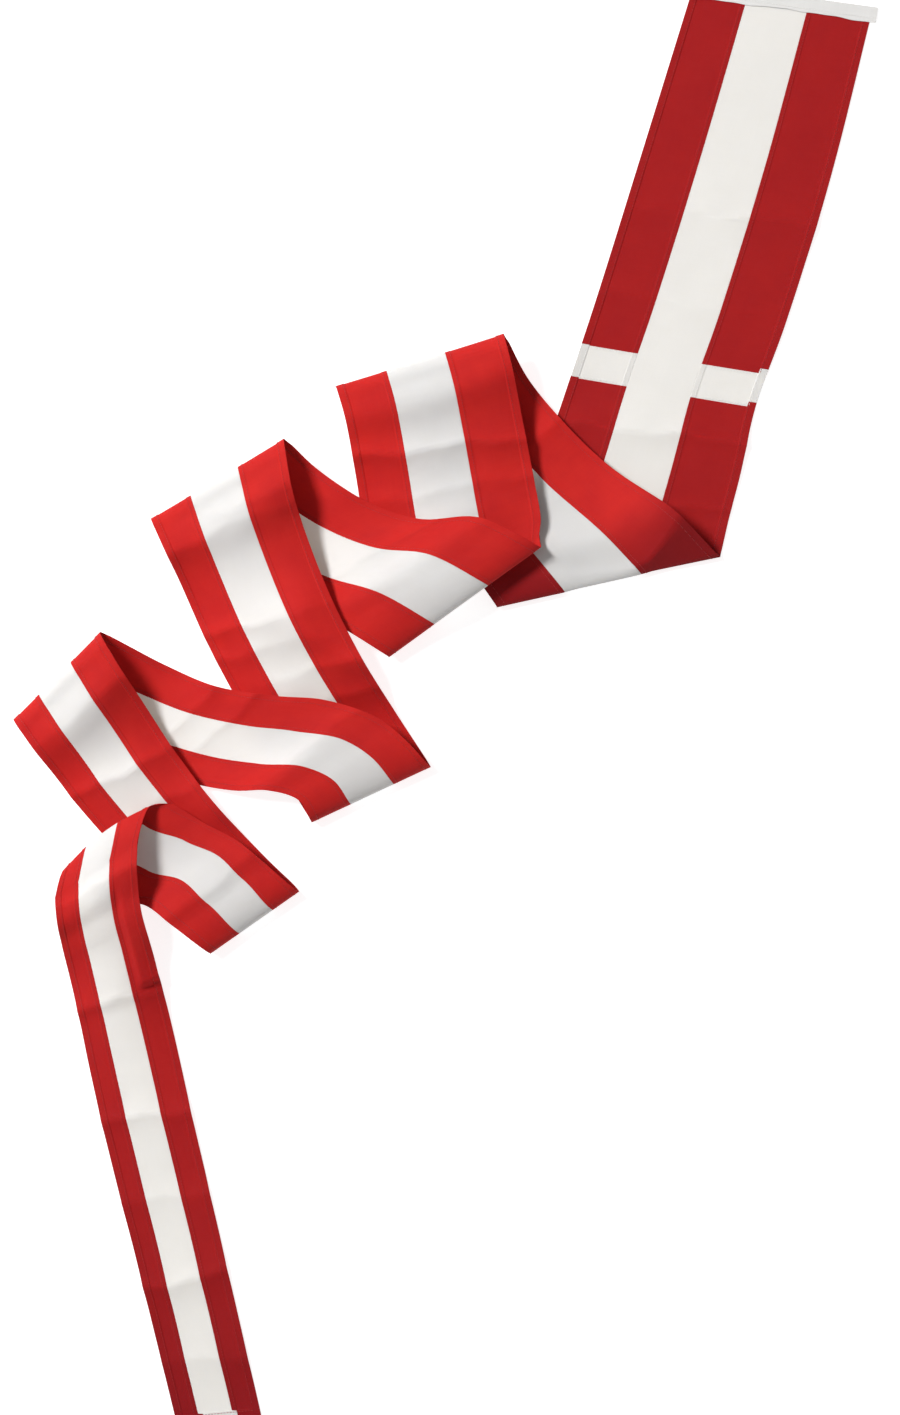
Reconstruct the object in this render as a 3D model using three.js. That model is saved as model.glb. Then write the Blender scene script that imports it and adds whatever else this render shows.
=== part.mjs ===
// A sewn cross pennant: a long tapering streamer in red with a white cross, laid down in nine zigzag lengths.
// The surface is worked out once, as rows of points across the cloth from the heading to the tail.
// Each cloth strip and each row of sewing is then a thin closed band that follows those rows.
// Units are millimetres, +Z is up and +Y points to the heading. Left and right are those of the first length.

import * as THREE from "three";

// Cut sizes of the pennant.
const pennantLength = 3520;
const hoistWidth = 200;
const tailWidth = 88;
const stripeAtHoist = 68;
const stripeAtTail = 35;
const stripeShiftAtHoist = 4.5;
const stripeShiftAtTail = 2.5;
const barDistance = 399;
const barWidth = 38;

// Thickness of the cloth, and the free space between faces that touch.
const clothThickness = 0.8;
const clearance = 0.3;

// Heading: one tape folded over the end of the cloth.
const headingDepth = 16;
const headingWall = 0.5;
const headingOverhang = 5;
const headingLead = 1;

// Sewing.
const threadWidth = 0.9;
const threadHeight = 0.5;
const hemDepth = 7;
const tailHemDepth = 9;
const headingSeamInset = 4;

// How the lengths lie: the free height between two layers, how far a length takes to come down
// from the loop that starts it, and how far ahead it feels an edge that it must climb.
const layerClearance = 0.8;
const settleDistance = 200;
const climbReach = 28;
const smoothingRounds = 10;

// Fineness of the surface.
const rowSpacing = 27;
const straightRowSpacing = 42;
const loopSteps = 6;
const columns = 8;

const red = 0xa51c21;
const darkRed = 0x7d1419;
const white = 0xe9e7e3;

// The lie of the cloth seen from above. A rung is a straight line across the cloth: the place of its
// middle, the angle of its right end above +X in degrees, and its length as a share of the cloth's width.
// Where the cloth tilts, the middle of its width is seen nearer to the right end by the share lean.
const rung = (x, y, turn, span, lean = 0) => ({ x, y, turn, span, lean });

// A fold is the outermost rung of a loop, with the loop's height at its left and right ends
// and how far its outline bows outwards in the middle.
const fold = (x, y, turn, span, leftHeight, rightHeight, lean = 0, bow = 0) => ({
  ...rung(x, y, turn, span, lean),
  leftHeight,
  rightHeight,
  bow,
});

const heading = rung(356, 744, -8, 0.95);
const tail = rung(-238, -756, 5, 1.02);

const folds = [
  fold(171, 126, 12.7, 1.34, 18, 44),
  fold(-26, 362, 18, 1.08, 38, 40),
  fold(20, 104, 35.7, 1.22, 34, 24),
  fold(-236, 235, 32, 1.08, 36, 38),
  fold(-78, -97, 25, 1.0, 32, 36, 0.04),
  fold(-406, 29, 44.8, 1.03, 34, 36),
  fold(-200, -231, 35, 0.99, 32, 32, 0.05),
  fold(-347, -156, 42, 1.36, 38, 42, 0.1, 14),
];

// The rungs of each length between its two ends.
const lengths = [
  [
    rung(305, 562, -9, 1.03),
    rung(258, 411, -8.5, 1.06),
    rung(229, 327, -9.5, 1.06),
    rung(206, 246, -6, 1.13),
    rung(189, 188, 2, 1.2),
  ],
  [rung(129, 172, 15.5, 1.24), rung(77, 223, 15.5, 1.11), rung(35, 272, 14.5, 1.05), rung(1, 317, 15, 1.03)],
  [rung(-17, 318, 15, 1.08), rung(-6, 262, 13, 1.1), rung(4, 205, 15, 1.13), rung(13, 155, 23, 1.16)],
  [
    rung(-40, 136, 37, 1.17),
    rung(-95, 148, 31.5, 1.05),
    rung(-150, 172, 28, 1.02),
    rung(-200, 204, 30, 1.02),
  ],
  [rung(-220, 175, 26, 0.98), rung(-190, 98, 21, 0.96), rung(-155, 28, 17, 0.98), rung(-118, -33, 18.5, 0.99)],
  [
    rung(-128, -54, 34, 1.01, 0.04),
    rung(-174, -45, 44, 1.02),
    rung(-223, -39, 45, 0.98),
    rung(-284, -24, 43, 0.92),
    rung(-338, -3, 42, 0.96),
  ],
  [rung(-374, -19, 43.5, 1.0), rung(-333, -81, 36, 0.96), rung(-285, -140, 30.5, 0.95), rung(-240, -190, 31, 0.97)],
  [rung(-234, -202, 34, 1.03, 0.1), rung(-265, -178, 35, 1.06, 0.13), rung(-300, -167, 39, 1.17, 0.13)],
  [
    rung(-359, -225, 31, 0.93),
    rung(-351, -268, 25, 0.92),
    rung(-342, -310, 17, 0.91),
    rung(-330, -367, 10.5, 0.94),
    rung(-309, -460, 9.5, 0.97),
    rung(-276, -596, 11.5, 0.98),
  ],
];

// Widths taper evenly from the heading to the tail.
const taper = (atHoist, atTail) => (along) => atHoist + ((atTail - atHoist) * along) / pennantLength;
const clothWidth = taper(hoistWidth, tailWidth);
const stripeWidth = taper(stripeAtHoist, stripeAtTail);
const stripeShift = taper(stripeShiftAtHoist, stripeShiftAtTail);
const stripeEdge = (along, sign) => (sign * stripeWidth(along)) / 2 - stripeShift(along);

const mix = (a, b, share) => a + (b - a) * share;
const ease = (share) => THREE.MathUtils.smoothstep(share, 0, 1);
const middleRadius = (f) => (f.leftHeight + f.rightHeight) / 4;

// The layout is scaled so that the cloth, with its loops, comes to the pennant's length.
const outline = (index) => [
  index ? folds[index - 1] : heading,
  ...lengths[index],
  index < folds.length ? folds[index] : tail,
];
const layoutDistance = lengths.reduce(
  (sum, _, index) =>
    outline(index)
      .slice(1)
      .reduce((part, r, i) => part + Math.hypot(r.x - outline(index)[i].x, r.y - outline(index)[i].y), sum),
  0,
);
const loopExtra = folds.reduce((sum, f) => sum + (Math.PI - 2) * middleRadius(f), 0);
const layoutScale = (pennantLength - loopExtra) / layoutDistance;

const middleOf = (r) => new THREE.Vector2(r.x, r.y).multiplyScalar(layoutScale);
const acrossOf = (r) =>
  new THREE.Vector2(1, 0).rotateAround(new THREE.Vector2(), THREE.MathUtils.degToRad(r.turn));

// Left and right ends of a rung, for cloth that has run this far from the heading.
function rungEnds(r, along) {
  const half = acrossOf(r).multiplyScalar((r.span * clothWidth(along)) / 2);
  return [middleOf(r).sub(half), middleOf(r).add(half)];
}

// The direction in which a loop stands out of the length that runs into it.
function outwards(index) {
  const f = folds[index];
  const square = new THREE.Vector2(-acrossOf(f).y, acrossOf(f).x);
  return square.multiplyScalar(Math.sign(square.dot(runInto(index))));
}

function runInto(index) {
  const stations = outline(index);
  return middleOf(folds[index]).sub(middleOf(stations[stations.length - 2]));
}

// Cloth that meets a fold aslant winds round it like a helix, so it moves on along the fold while it turns.
function slipOf(index, radius) {
  const run = runInto(index);
  return (Math.PI * radius * run.dot(acrossOf(folds[index]))) / run.dot(outwards(index));
}

// Ends of the line where a loop leaves the flat cloth, one radius inside its outline:
// its foot, with turned at -1, or its top, with turned at 1.
function tangentEnds(index, along, turned) {
  const f = folds[index];
  const radii = [f.leftHeight / 2, f.rightHeight / 2];
  return rungEnds(f, along).map((end, side) =>
    end
      .addScaledVector(outwards(index), -radii[side])
      .addScaledVector(acrossOf(f), (turned * slipOf(index, radii[side])) / 2),
  );
}

// One length as two smooth rails with the distance run along the cloth at each of its stations.
function railsOf(index, start) {
  const stations = outline(index);
  const alongs = [start];
  for (let i = 1; i < stations.length; i += 1) {
    let step = middleOf(stations[i]).distanceTo(middleOf(stations[i - 1]));
    if (i === 1 && index > 0) step -= middleRadius(folds[index - 1]);
    if (i === stations.length - 1 && index < folds.length) step -= middleRadius(folds[index]);
    alongs.push(alongs[i - 1] + step);
  }
  const ends = stations.map((r, i) => {
    if (i === 0 && index > 0) return tangentEnds(index - 1, alongs[i], 1);
    if (i === stations.length - 1 && index < folds.length) return tangentEnds(index, alongs[i], -1);
    return rungEnds(r, alongs[i]);
  });
  const rail = (side) =>
    new THREE.CatmullRomCurve3(
      ends.map((pair) => new THREE.Vector3(pair[side].x, pair[side].y, 0)),
      false,
      "centripetal",
    );
  return { alongs, leans: stations.map((r) => r.lean), left: rail(0), right: rail(1) };
}

// Distances along the cloth at which a length has its rows. The first has two more beside the heading.
function rowStops(index, from, to) {
  const lead = index === 0 ? [from, from + headingDepth + 4, from + headingDepth + 30] : [from];
  const first = lead[lead.length - 1];
  const straight = index === 0 || index === lengths.length - 1;
  const count = Math.round((to - first) / (straight ? straightRowSpacing : rowSpacing));
  return [...lead, ...Array.from({ length: count }, (_, i) => mix(first, to, (i + 1) / count))];
}

// Rows of the laid cloth, each with its distance along and its points from the left edge to the right.
const rows = [];

// Height of the cloth already laid at a place in plan, or 0 where there is none.
function laidHeight(x, y, rowCount) {
  let height = 0;
  for (let i = 1; i < rowCount; i += 1) {
    for (let j = 0; j < columns; j += 1) {
      const [a, b, c, d] = [rows[i - 1].points[j], rows[i - 1].points[j + 1], rows[i].points[j + 1], rows[i].points[j]];
      height = Math.max(height, heightInTriangle(x, y, a, b, c), heightInTriangle(x, y, a, c, d));
    }
  }
  return height;
}

function heightInTriangle(x, y, a, b, c) {
  const area = (b.x - a.x) * (c.y - a.y) - (c.x - a.x) * (b.y - a.y);
  const shareB = ((x - a.x) * (c.y - a.y) - (c.x - a.x) * (y - a.y)) / area;
  const shareC = ((b.x - a.x) * (y - a.y) - (x - a.x) * (b.y - a.y)) / area;
  if (!(shareB >= 0 && shareC >= 0 && shareB + shareC <= 1)) return 0;
  return a.z + (b.z - a.z) * shareB + (c.z - a.z) * shareC;
}

// Height of the middle of the cloth where it lies on the floor. The face with the hem stitches is
// up on the first length and on every second one after it, and down on the others, so two layers
// may have their stitches face to face.
const stitchStandOff = clearance + threadHeight;
const layerStep = clothThickness + 2 * stitchStandOff + layerClearance;
const floorHeight = (index) => clothThickness / 2 + (index % 2 ? stitchStandOff : 0);
const headingLift = headingWall + clearance + clothThickness / 2;

// The lowest that a point of a length may lie: on the floor, in the heading, or on the lengths below it.
function restingHeight(index, along, point, laidRows) {
  let height = floorHeight(index);
  if (index === 0) height = mix(headingLift, height, ease((along - headingDepth - 4) / 26));
  for (let k = 0; k <= 8; k += 1) {
    const reach = k === 8 ? 0 : climbReach;
    const angle = (k * Math.PI) / 4;
    const below = laidHeight(point.x + reach * Math.cos(angle), point.y + reach * Math.sin(angle), laidRows);
    if (below > 0) height = Math.max(height, below + layerStep);
  }
  return height;
}

// Cloth doesn't turn sharply: each point comes up to the mean of its neighbours, and never goes down.
function smoothUp(heights) {
  for (let round = 0; round < smoothingRounds; round += 1) {
    const last = heights.map((row) => [...row]);
    const at = (i, j) =>
      last[THREE.MathUtils.clamp(i, 0, last.length - 1)][THREE.MathUtils.clamp(j, 0, columns)];
    heights.forEach((row, i) =>
      row.forEach((height, j) => {
        row[j] = Math.max(height, (at(i - 1, j) + at(i + 1, j) + at(i, j - 1) + at(i, j + 1)) / 4);
      }),
    );
  }
}

function layLength(index, start) {
  const { alongs, leans, left, right } = railsOf(index, start);
  const laidRows = rows.length;
  const stops = rowStops(index, alongs[0], alongs[alongs.length - 1]);
  const plan = stops.map((along) => {
    const next = Math.max(1, alongs.findIndex((a) => a >= along - 1e-6));
    const share = (along - alongs[next - 1]) / (alongs[next] - alongs[next - 1]);
    const u = THREE.MathUtils.clamp((next - 1 + share) / (alongs.length - 1), 0, 1);
    const [l, r] = [left.getPoint(u), right.getPoint(u)];
    const lean = mix(leans[next - 1], leans[next], share);
    return Array.from({ length: columns + 1 }, (_, j) => {
      const t = j / columns;
      return l.clone().lerp(r, t + lean * 4 * t * (1 - t));
    });
  });
  const rest = plan.map((points, i) => points.map((p) => restingHeight(index, stops[i], p, laidRows)));
  smoothUp(rest);
  const top = index ? rows[laidRows - 1].points.map((p) => p.z) : rest[0];
  const settle = Math.min(settleDistance, alongs[alongs.length - 1] - start);
  plan.forEach((points, i) => {
    const fall = 1 - ease((stops[i] - start) / settle);
    points.forEach((p, j) => {
      p.z = rest[i][j] + (top[j] - rest[0][j]) * fall;
    });
  });
  // The first row of a later length is the last row of the loop before it.
  plan.slice(index ? 1 : 0).forEach((points, i) => rows.push({ along: stops[i + (index ? 1 : 0)], points }));
  return stops[stops.length - 1];
}

// A loop turns the cloth over, up and back: half a circle that is as high as the fold says.
function layLoop(index, start) {
  const f = folds[index];
  const out = outwards(index);
  const foot = rows[rows.length - 1].points;
  const turnLength = Math.PI * middleRadius(f);
  for (let step = 1; step <= loopSteps; step += 1) {
    const turned = step / loopSteps;
    const angle = Math.PI * turned;
    const points = foot.map((p, j) => {
      const share = j / columns;
      const radius = mix(f.leftHeight, f.rightHeight, share) / 2;
      const depth = (radius + f.bow * 4 * share * (1 - share)) * Math.sin(angle);
      const shift = out.clone().multiplyScalar(depth).addScaledVector(acrossOf(f), slipOf(index, radius) * turned);
      return new THREE.Vector3(p.x + shift.x, p.y + shift.y, p.z + radius * (1 - Math.cos(angle)));
    });
    rows.push({ along: start + turnLength * turned, points });
  }
  return start + turnLength;
}

lengths.reduce((start, _, index) => {
  const end = layLength(index, start);
  return index < folds.length ? layLoop(index, end) : end;
}, 0);

// The direction square to the cloth at each point of a row, towards the face that is up on the first length.
rows.forEach((row, i) => {
  const before = rows[Math.max(0, i - 1)].points;
  const after = rows[Math.min(rows.length - 1, i + 1)].points;
  row.normals = row.points.map((_, j) => {
    const along = after[j].clone().sub(before[j]);
    const across = row.points[Math.min(columns, j + 1)].clone().sub(row.points[Math.max(0, j - 1)]);
    return along.cross(across).normalize();
  });
});

// A point of the cloth: its distance from the heading, its offset to the right of the middle line
// and its height above the middle of the thickness.
function place(along, offset, height) {
  const column = THREE.MathUtils.clamp(offset / clothWidth(along) + 0.5, 0, 1) * columns;
  const j = Math.min(columns - 1, Math.floor(column));
  const i = THREE.MathUtils.clamp(rows.findIndex((row) => row.along >= along - 1e-6), 1, rows.length - 1);
  const share = THREE.MathUtils.clamp((along - rows[i - 1].along) / (rows[i].along - rows[i - 1].along), 0, 1);
  const between = (key) =>
    rows[i - 1][key][j]
      .clone()
      .lerp(rows[i - 1][key][j + 1], column - j)
      .lerp(rows[i][key][j].clone().lerp(rows[i][key][j + 1], column - j), share);
  return between("points").addScaledVector(between("normals").normalize(), height);
}

// A closed band from one distance along to another. The offsets across are functions of the distance,
// from left to right, and the band fills the heights from low to high.
function band(from, to, offsets, low, high) {
  const stops = [from, ...rows.map((row) => row.along).filter((a) => a > from + 1 && a < to - 1), to];
  const ring = (along) => [
    ...offsets.map((offset) => place(along, offset(along), low)),
    ...[...offsets].reverse().map((offset) => place(along, offset(along), high)),
  ];
  const around = 2 * offsets.length;
  const corners = stops.flatMap((along) => ring(along).flatMap((p) => p.toArray()));
  const triangles = [];
  for (let i = 0; i < stops.length - 1; i += 1) {
    for (let k = 0; k < around; k += 1) {
      const [a, b] = [i * around + k, i * around + ((k + 1) % around)];
      const [c, d] = [b + around, a + around];
      // Both faces are cut along the same diagonal, so they stay parallel where the cloth twists.
      if (k < offsets.length) triangles.push(a, b, d, b, c, d);
      else triangles.push(a, b, c, a, c, d);
    }
  }
  // The two ends are closed between the low side and the high side.
  const end = (stops.length - 1) * around;
  for (let k = 0; k < offsets.length - 1; k += 1) {
    const [a, b, c, d] = [k, k + 1, around - 2 - k, around - 1 - k];
    triangles.push(a, c, b, a, d, c, end + a, end + b, end + c, end + a, end + c, end + d);
  }
  const geometry = new THREE.BufferGeometry();
  geometry.setAttribute("position", new THREE.Float32BufferAttribute(corners, 3));
  geometry.setIndex(triangles);
  geometry.computeVertexNormals();
  return geometry;
}

const pennant = new THREE.Group();

function addPiece(name, geometry, color, roughness = 0.85) {
  const mesh = new THREE.Mesh(geometry, new THREE.MeshStandardMaterial({ color, roughness, metalness: 0 }));
  mesh.name = name;
  pennant.add(mesh);
  return mesh;
}

// Cloth strips. A seam is a slot that holds its thread with a clearance on either side.
const seamHalf = threadWidth / 2 + clearance;
const clothStart = headingLead;
const hoistFieldEnd = barDistance - seamHalf;
const barStart = barDistance + seamHalf;
const barEnd = barDistance + barWidth - seamHalf;
const flyFieldStart = barDistance + barWidth + seamHalf;
const sides = [
  ["left", -1],
  ["right", 1],
];

// Offsets of a side strip, from the cloth's edge over its hem row to the seam beside the stripe.
function sideOffsets(sign) {
  const offsets = [
    (along) => sign * (clothWidth(along) / 2),
    (along) => sign * (clothWidth(along) / 2 - hemDepth),
    (along) => stripeEdge(along, sign) + sign * seamHalf,
  ];
  return sign < 0 ? offsets : offsets.reverse();
}

const clothBand = (from, to, offsets) => band(from, to, offsets, -clothThickness / 2, clothThickness / 2);

addPiece(
  "centre_stripe",
  clothBand(clothStart, pennantLength - 1, [
    (along) => stripeEdge(along, -1) + seamHalf,
    (along) => stripeEdge(along, 1) - seamHalf,
  ]),
  white,
);
sides.forEach(([side, sign]) => {
  addPiece(`hoist_field_${side}`, clothBand(clothStart, hoistFieldEnd, sideOffsets(sign)), red);
  addPiece(`cross_bar_${side}`, clothBand(barStart, barEnd, sideOffsets(sign)), white);
  addPiece(`fly_field_${side}`, clothBand(flyFieldStart, pennantLength - 1, sideOffsets(sign)), red);
});

// Threads. The long seams lie in their slots, and the hem rows lie on the face that shows first.
const around = (centre) => [
  (along) => centre(along) - threadWidth / 2,
  (along) => centre(along) + threadWidth / 2,
];
const threadLow = clothThickness / 2 + clearance;
sides.forEach(([side, sign]) => {
  addPiece(
    `seam_thread_${side}`,
    band(
      clothStart,
      pennantLength - 1,
      around((along) => stripeEdge(along, sign)),
      -threadHeight / 2,
      threadHeight / 2,
    ),
    darkRed,
  );
  addPiece(
    `hem_thread_${side}`,
    band(
      headingDepth + 3,
      pennantLength - tailHemDepth - 2,
      around((along) => sign * (clothWidth(along) / 2 - hemDepth)),
      threadLow,
      threadLow + threadHeight,
    ),
    darkRed,
  );
});

// A short straight run of thread across the cloth, between two offsets.
function crossThread(along, from, to, low) {
  const [a, b] = [place(along, from, low + threadHeight / 2), place(along, to, low + threadHeight / 2)];
  const geometry = new THREE.BoxGeometry(a.distanceTo(b), threadWidth, threadHeight);
  geometry.rotateZ(Math.atan2(b.y - a.y, b.x - a.x));
  const middle = a.lerp(b, 0.5);
  return geometry.translate(middle.x, middle.y, middle.z);
}

sides.forEach(([side, sign]) => {
  [
    ["hoist", barDistance],
    ["fly", barDistance + barWidth],
  ].forEach(([end, along]) => {
    const inner = stripeEdge(along, sign) + sign * seamHalf;
    const outer = sign * (clothWidth(along) / 2 - 1);
    addPiece(`bar_thread_${side}_${end}`, crossThread(along, inner, outer, -threadHeight / 2), white);
  });
});
const tailAlong = pennantLength - tailHemDepth;
const tailReach = clothWidth(tailAlong) / 2 - 1;
addPiece("tail_hem_thread", crossThread(tailAlong, -tailReach, tailReach, threadLow), darkRed);

// Heading tape: a flat U that is open towards the cloth, extruded across it.
const headingHeight = 2 * (headingWall + clearance) + clothThickness;
const headingStart = place(0, -hoistWidth / 2, 0);
const headingEnd = place(0, hoistWidth / 2, 0);
const headingAcross = headingEnd.clone().sub(headingStart).setZ(0).normalize();
const headingBack = new THREE.Vector3(-headingAcross.y, headingAcross.x, 0);
const headingLength = headingStart.distanceTo(headingEnd) + headingOverhang;
const bend = headingHeight / 2;

const tapeSection = new THREE.Shape();
tapeSection.moveTo(-headingDepth, 0);
tapeSection.lineTo(-bend, 0);
tapeSection.absarc(-bend, bend, bend, -Math.PI / 2, Math.PI / 2, false);
tapeSection.lineTo(-headingDepth, headingHeight);
tapeSection.lineTo(-headingDepth, headingHeight - headingWall);
tapeSection.lineTo(-bend, headingHeight - headingWall);
tapeSection.absarc(-bend, bend, bend - headingWall, Math.PI / 2, -Math.PI / 2, true);
tapeSection.lineTo(-headingDepth, headingWall);
tapeSection.closePath();
const tape = new THREE.ExtrudeGeometry(tapeSection, {
  depth: headingLength,
  bevelEnabled: false,
  curveSegments: 6,
});
tape.applyMatrix4(
  new THREE.Matrix4().makeBasis(headingBack, new THREE.Vector3(0, 0, 1), headingAcross),
);
const tapeOrigin = headingStart.clone().setZ(0).addScaledVector(headingBack, bend);
tape.translate(tapeOrigin.x, tapeOrigin.y, 0);
addPiece("heading_tape", tape, white, 0.8);

// Its row of stitches lies on the upper face, above the tape's open edge.
const headingRow = new THREE.BoxGeometry(headingLength - 4, threadWidth, threadHeight);
headingRow.rotateZ(Math.atan2(headingAcross.y, headingAcross.x));
const rowMiddle = tapeOrigin
  .clone()
  .addScaledVector(headingAcross, headingLength / 2)
  .addScaledVector(headingBack, headingSeamInset - headingDepth);
headingRow.translate(rowMiddle.x, rowMiddle.y, headingHeight + clearance + threadHeight / 2);
addPiece("heading_thread", headingRow, white);

// The origin is in the middle of the laid pennant, on the floor.
const bounds = new THREE.Box3().setFromObject(pennant, true);
const centre = bounds.getCenter(new THREE.Vector3());
pennant.position.set(-centre.x, -centre.y, 0);

export default pennant;
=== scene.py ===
"""A sewn cross pennant, red with a white cross, laid down in nine zigzag lengths.

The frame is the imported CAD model. This script lays the same cloth again on a fine grid, makes each strip
of cloth as a closed shell with its turned hems and felled seams, sews it with separate stitches, and lights
it on a plain pale floor. Sizes are millimetres in this file. Meshes are written in metres, +Z up.
"""

import logging
import math
from dataclasses import dataclass, field
from enum import Enum

import bpy
import numpy as np
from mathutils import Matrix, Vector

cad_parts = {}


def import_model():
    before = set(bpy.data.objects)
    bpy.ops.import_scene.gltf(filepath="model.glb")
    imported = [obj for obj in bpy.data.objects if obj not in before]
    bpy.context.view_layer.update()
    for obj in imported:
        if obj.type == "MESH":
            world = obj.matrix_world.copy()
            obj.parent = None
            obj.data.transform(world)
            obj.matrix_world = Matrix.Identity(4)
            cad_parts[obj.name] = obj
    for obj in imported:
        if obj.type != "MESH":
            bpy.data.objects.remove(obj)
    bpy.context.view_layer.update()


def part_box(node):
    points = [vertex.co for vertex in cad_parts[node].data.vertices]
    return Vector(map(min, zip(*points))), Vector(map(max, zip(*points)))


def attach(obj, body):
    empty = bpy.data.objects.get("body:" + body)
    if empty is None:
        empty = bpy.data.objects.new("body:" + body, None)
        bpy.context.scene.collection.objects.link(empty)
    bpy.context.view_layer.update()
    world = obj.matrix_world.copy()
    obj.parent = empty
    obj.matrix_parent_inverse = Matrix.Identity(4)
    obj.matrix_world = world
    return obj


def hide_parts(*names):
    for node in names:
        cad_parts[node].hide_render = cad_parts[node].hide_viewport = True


LOG = logging.getLogger("pennant")
METRES_PER_MM = 0.001

Vector3 = tuple[float, float, float]


class Side(Enum):
    """The two long edges, as they lie on the first length."""

    LEFT = -1
    RIGHT = 1

    @property
    def word(self) -> str:
        """The side's name in piece names."""
        return self.name.lower()


class Face(Enum):
    """The two faces of the cloth. The hems are turned to the front, which is up on the first length."""

    FRONT = 1
    BACK = -1


def ease(share: np.ndarray | float) -> np.ndarray:
    """Smooth step from 0 to 1, level at both ends: 3s^2 - 2s^3.

    Args:
        share: How far along, from 0 to 1. Values outside are held at the ends.

    Returns:
        The eased share.
    """
    held = np.clip(share, 0.0, 1.0)
    return held * held * (3.0 - 2.0 * held)


def mix(a: np.ndarray | float, b: np.ndarray | float, share: np.ndarray | float) -> np.ndarray:
    """Straight blend from a, at share 0, to b, at share 1."""
    return a + (b - a) * share


# ---------------------------------------------------------------- the cut and the lie of the cloth


@dataclass(frozen=True)
class CutSizes:
    """Sizes of the pennant laid flat. Widths taper evenly from the heading to the tail."""

    length: float = 3520.0
    hoist_width: float = 200.0
    tail_width: float = 88.0
    stripe_at_hoist: float = 68.0
    stripe_at_tail: float = 35.0
    shift_at_hoist: float = 4.5
    shift_at_tail: float = 2.5
    bar_distance: float = 399.0
    bar_width: float = 38.0
    heading_lead: float = 1.0

    def cloth_width(self, along: np.ndarray | float) -> np.ndarray:
        """Full width of the cloth at a distance from the heading."""
        return mix(self.hoist_width, self.tail_width, along / self.length)

    def seam(self, along: np.ndarray | float, side: Side) -> np.ndarray:
        """Offset from the middle line of the seam between the stripe and the red cloth on one side."""
        half = mix(self.stripe_at_hoist, self.stripe_at_tail, along / self.length) / 2
        return side.value * half - mix(self.shift_at_hoist, self.shift_at_tail, along / self.length)

    def edge(self, along: np.ndarray | float, side: Side) -> np.ndarray:
        """Offset from the middle line of the cloth's long edge on one side."""
        return side.value * self.cloth_width(along) / 2


@dataclass(frozen=True)
class Rung:
    """A straight line across the cloth, seen from above.

    x and y place its middle and turn is the angle of its right end above +X in degrees. span is its length
    as a share of the cloth's width. Where the cloth tilts, the middle of its width is seen nearer to the
    right end by the share lean. crown is how far the middle of the cloth arches up above its two edges.
    """

    x: float
    y: float
    turn: float
    span: float
    lean: float = 0.0
    crown: float = 0.0

    @property
    def across(self) -> np.ndarray:
        """Unit vector towards the right end."""
        return np.array([math.cos(math.radians(self.turn)), math.sin(math.radians(self.turn))])


@dataclass(frozen=True)
class LoopShape:
    """The shape of a loop at a share of the way from its left end to its right end, seen along the fold.

    nose is the radius of its outermost turn. crest is how far behind the outline the cloth is highest, and
    height is how high it is there. pressed is how straight the slope between them is: 0 is round and 1 is a
    flat slope with a sharp crease on top.
    """

    share: float
    height: float
    nose: float
    crest: float
    pressed: float = 0.0


@dataclass(frozen=True)
class Fold(Rung):
    """The outermost rung of a loop, with the loop's shape at some places across it.

    along is its distance from the heading, measured on the flat cloth.
    bow is how far the outline swells outwards in the middle. slip is how far the cloth moves along the fold
    while it turns over, to the left, so that the loop's ends are open arches and not sharp corners. lift is
    how far the cloth has already risen at the loop's foot, over the last stretch of climb millimetres.
    """

    along: float = 0.0
    shapes: tuple[LoopShape, ...] = (LoopShape(0, 36, 15, 18),)
    bow: float = 0.0
    slip: float = 0.0
    lift: float = 0.0
    climb: float = 105.0

    def size(self, key: str, share: np.ndarray | float) -> np.ndarray:
        """A size of the loop at a share of the way across, on straight lines between the given shapes."""
        places = [shape.share for shape in self.shapes]
        return np.interp(share, places, [getattr(shape, key) for shape in self.shapes])

    @property
    def lower_length(self) -> float:
        """Length of cloth from the loop's foot to its outline, in the middle of its width."""
        return math.pi / 2 * float(self.size("nose", 0.5))

    @property
    def upper_length(self) -> float:
        """Length of cloth from the outline to the crest: a quarter of an ellipse."""
        lift = float(self.size("height", 0.5) - self.size("nose", 0.5))
        return math.pi / 2 * math.hypot(float(self.size("crest", 0.5)), lift) / math.sqrt(2)


HEADING = Rung(356, 744, -8, 0.95)
TAIL = Rung(-238, -756, 5, 1.02)

UPPER_LOOP = (LoopShape(0, 18, 8, 15), LoopShape(1, 21, 9, 16))

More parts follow.
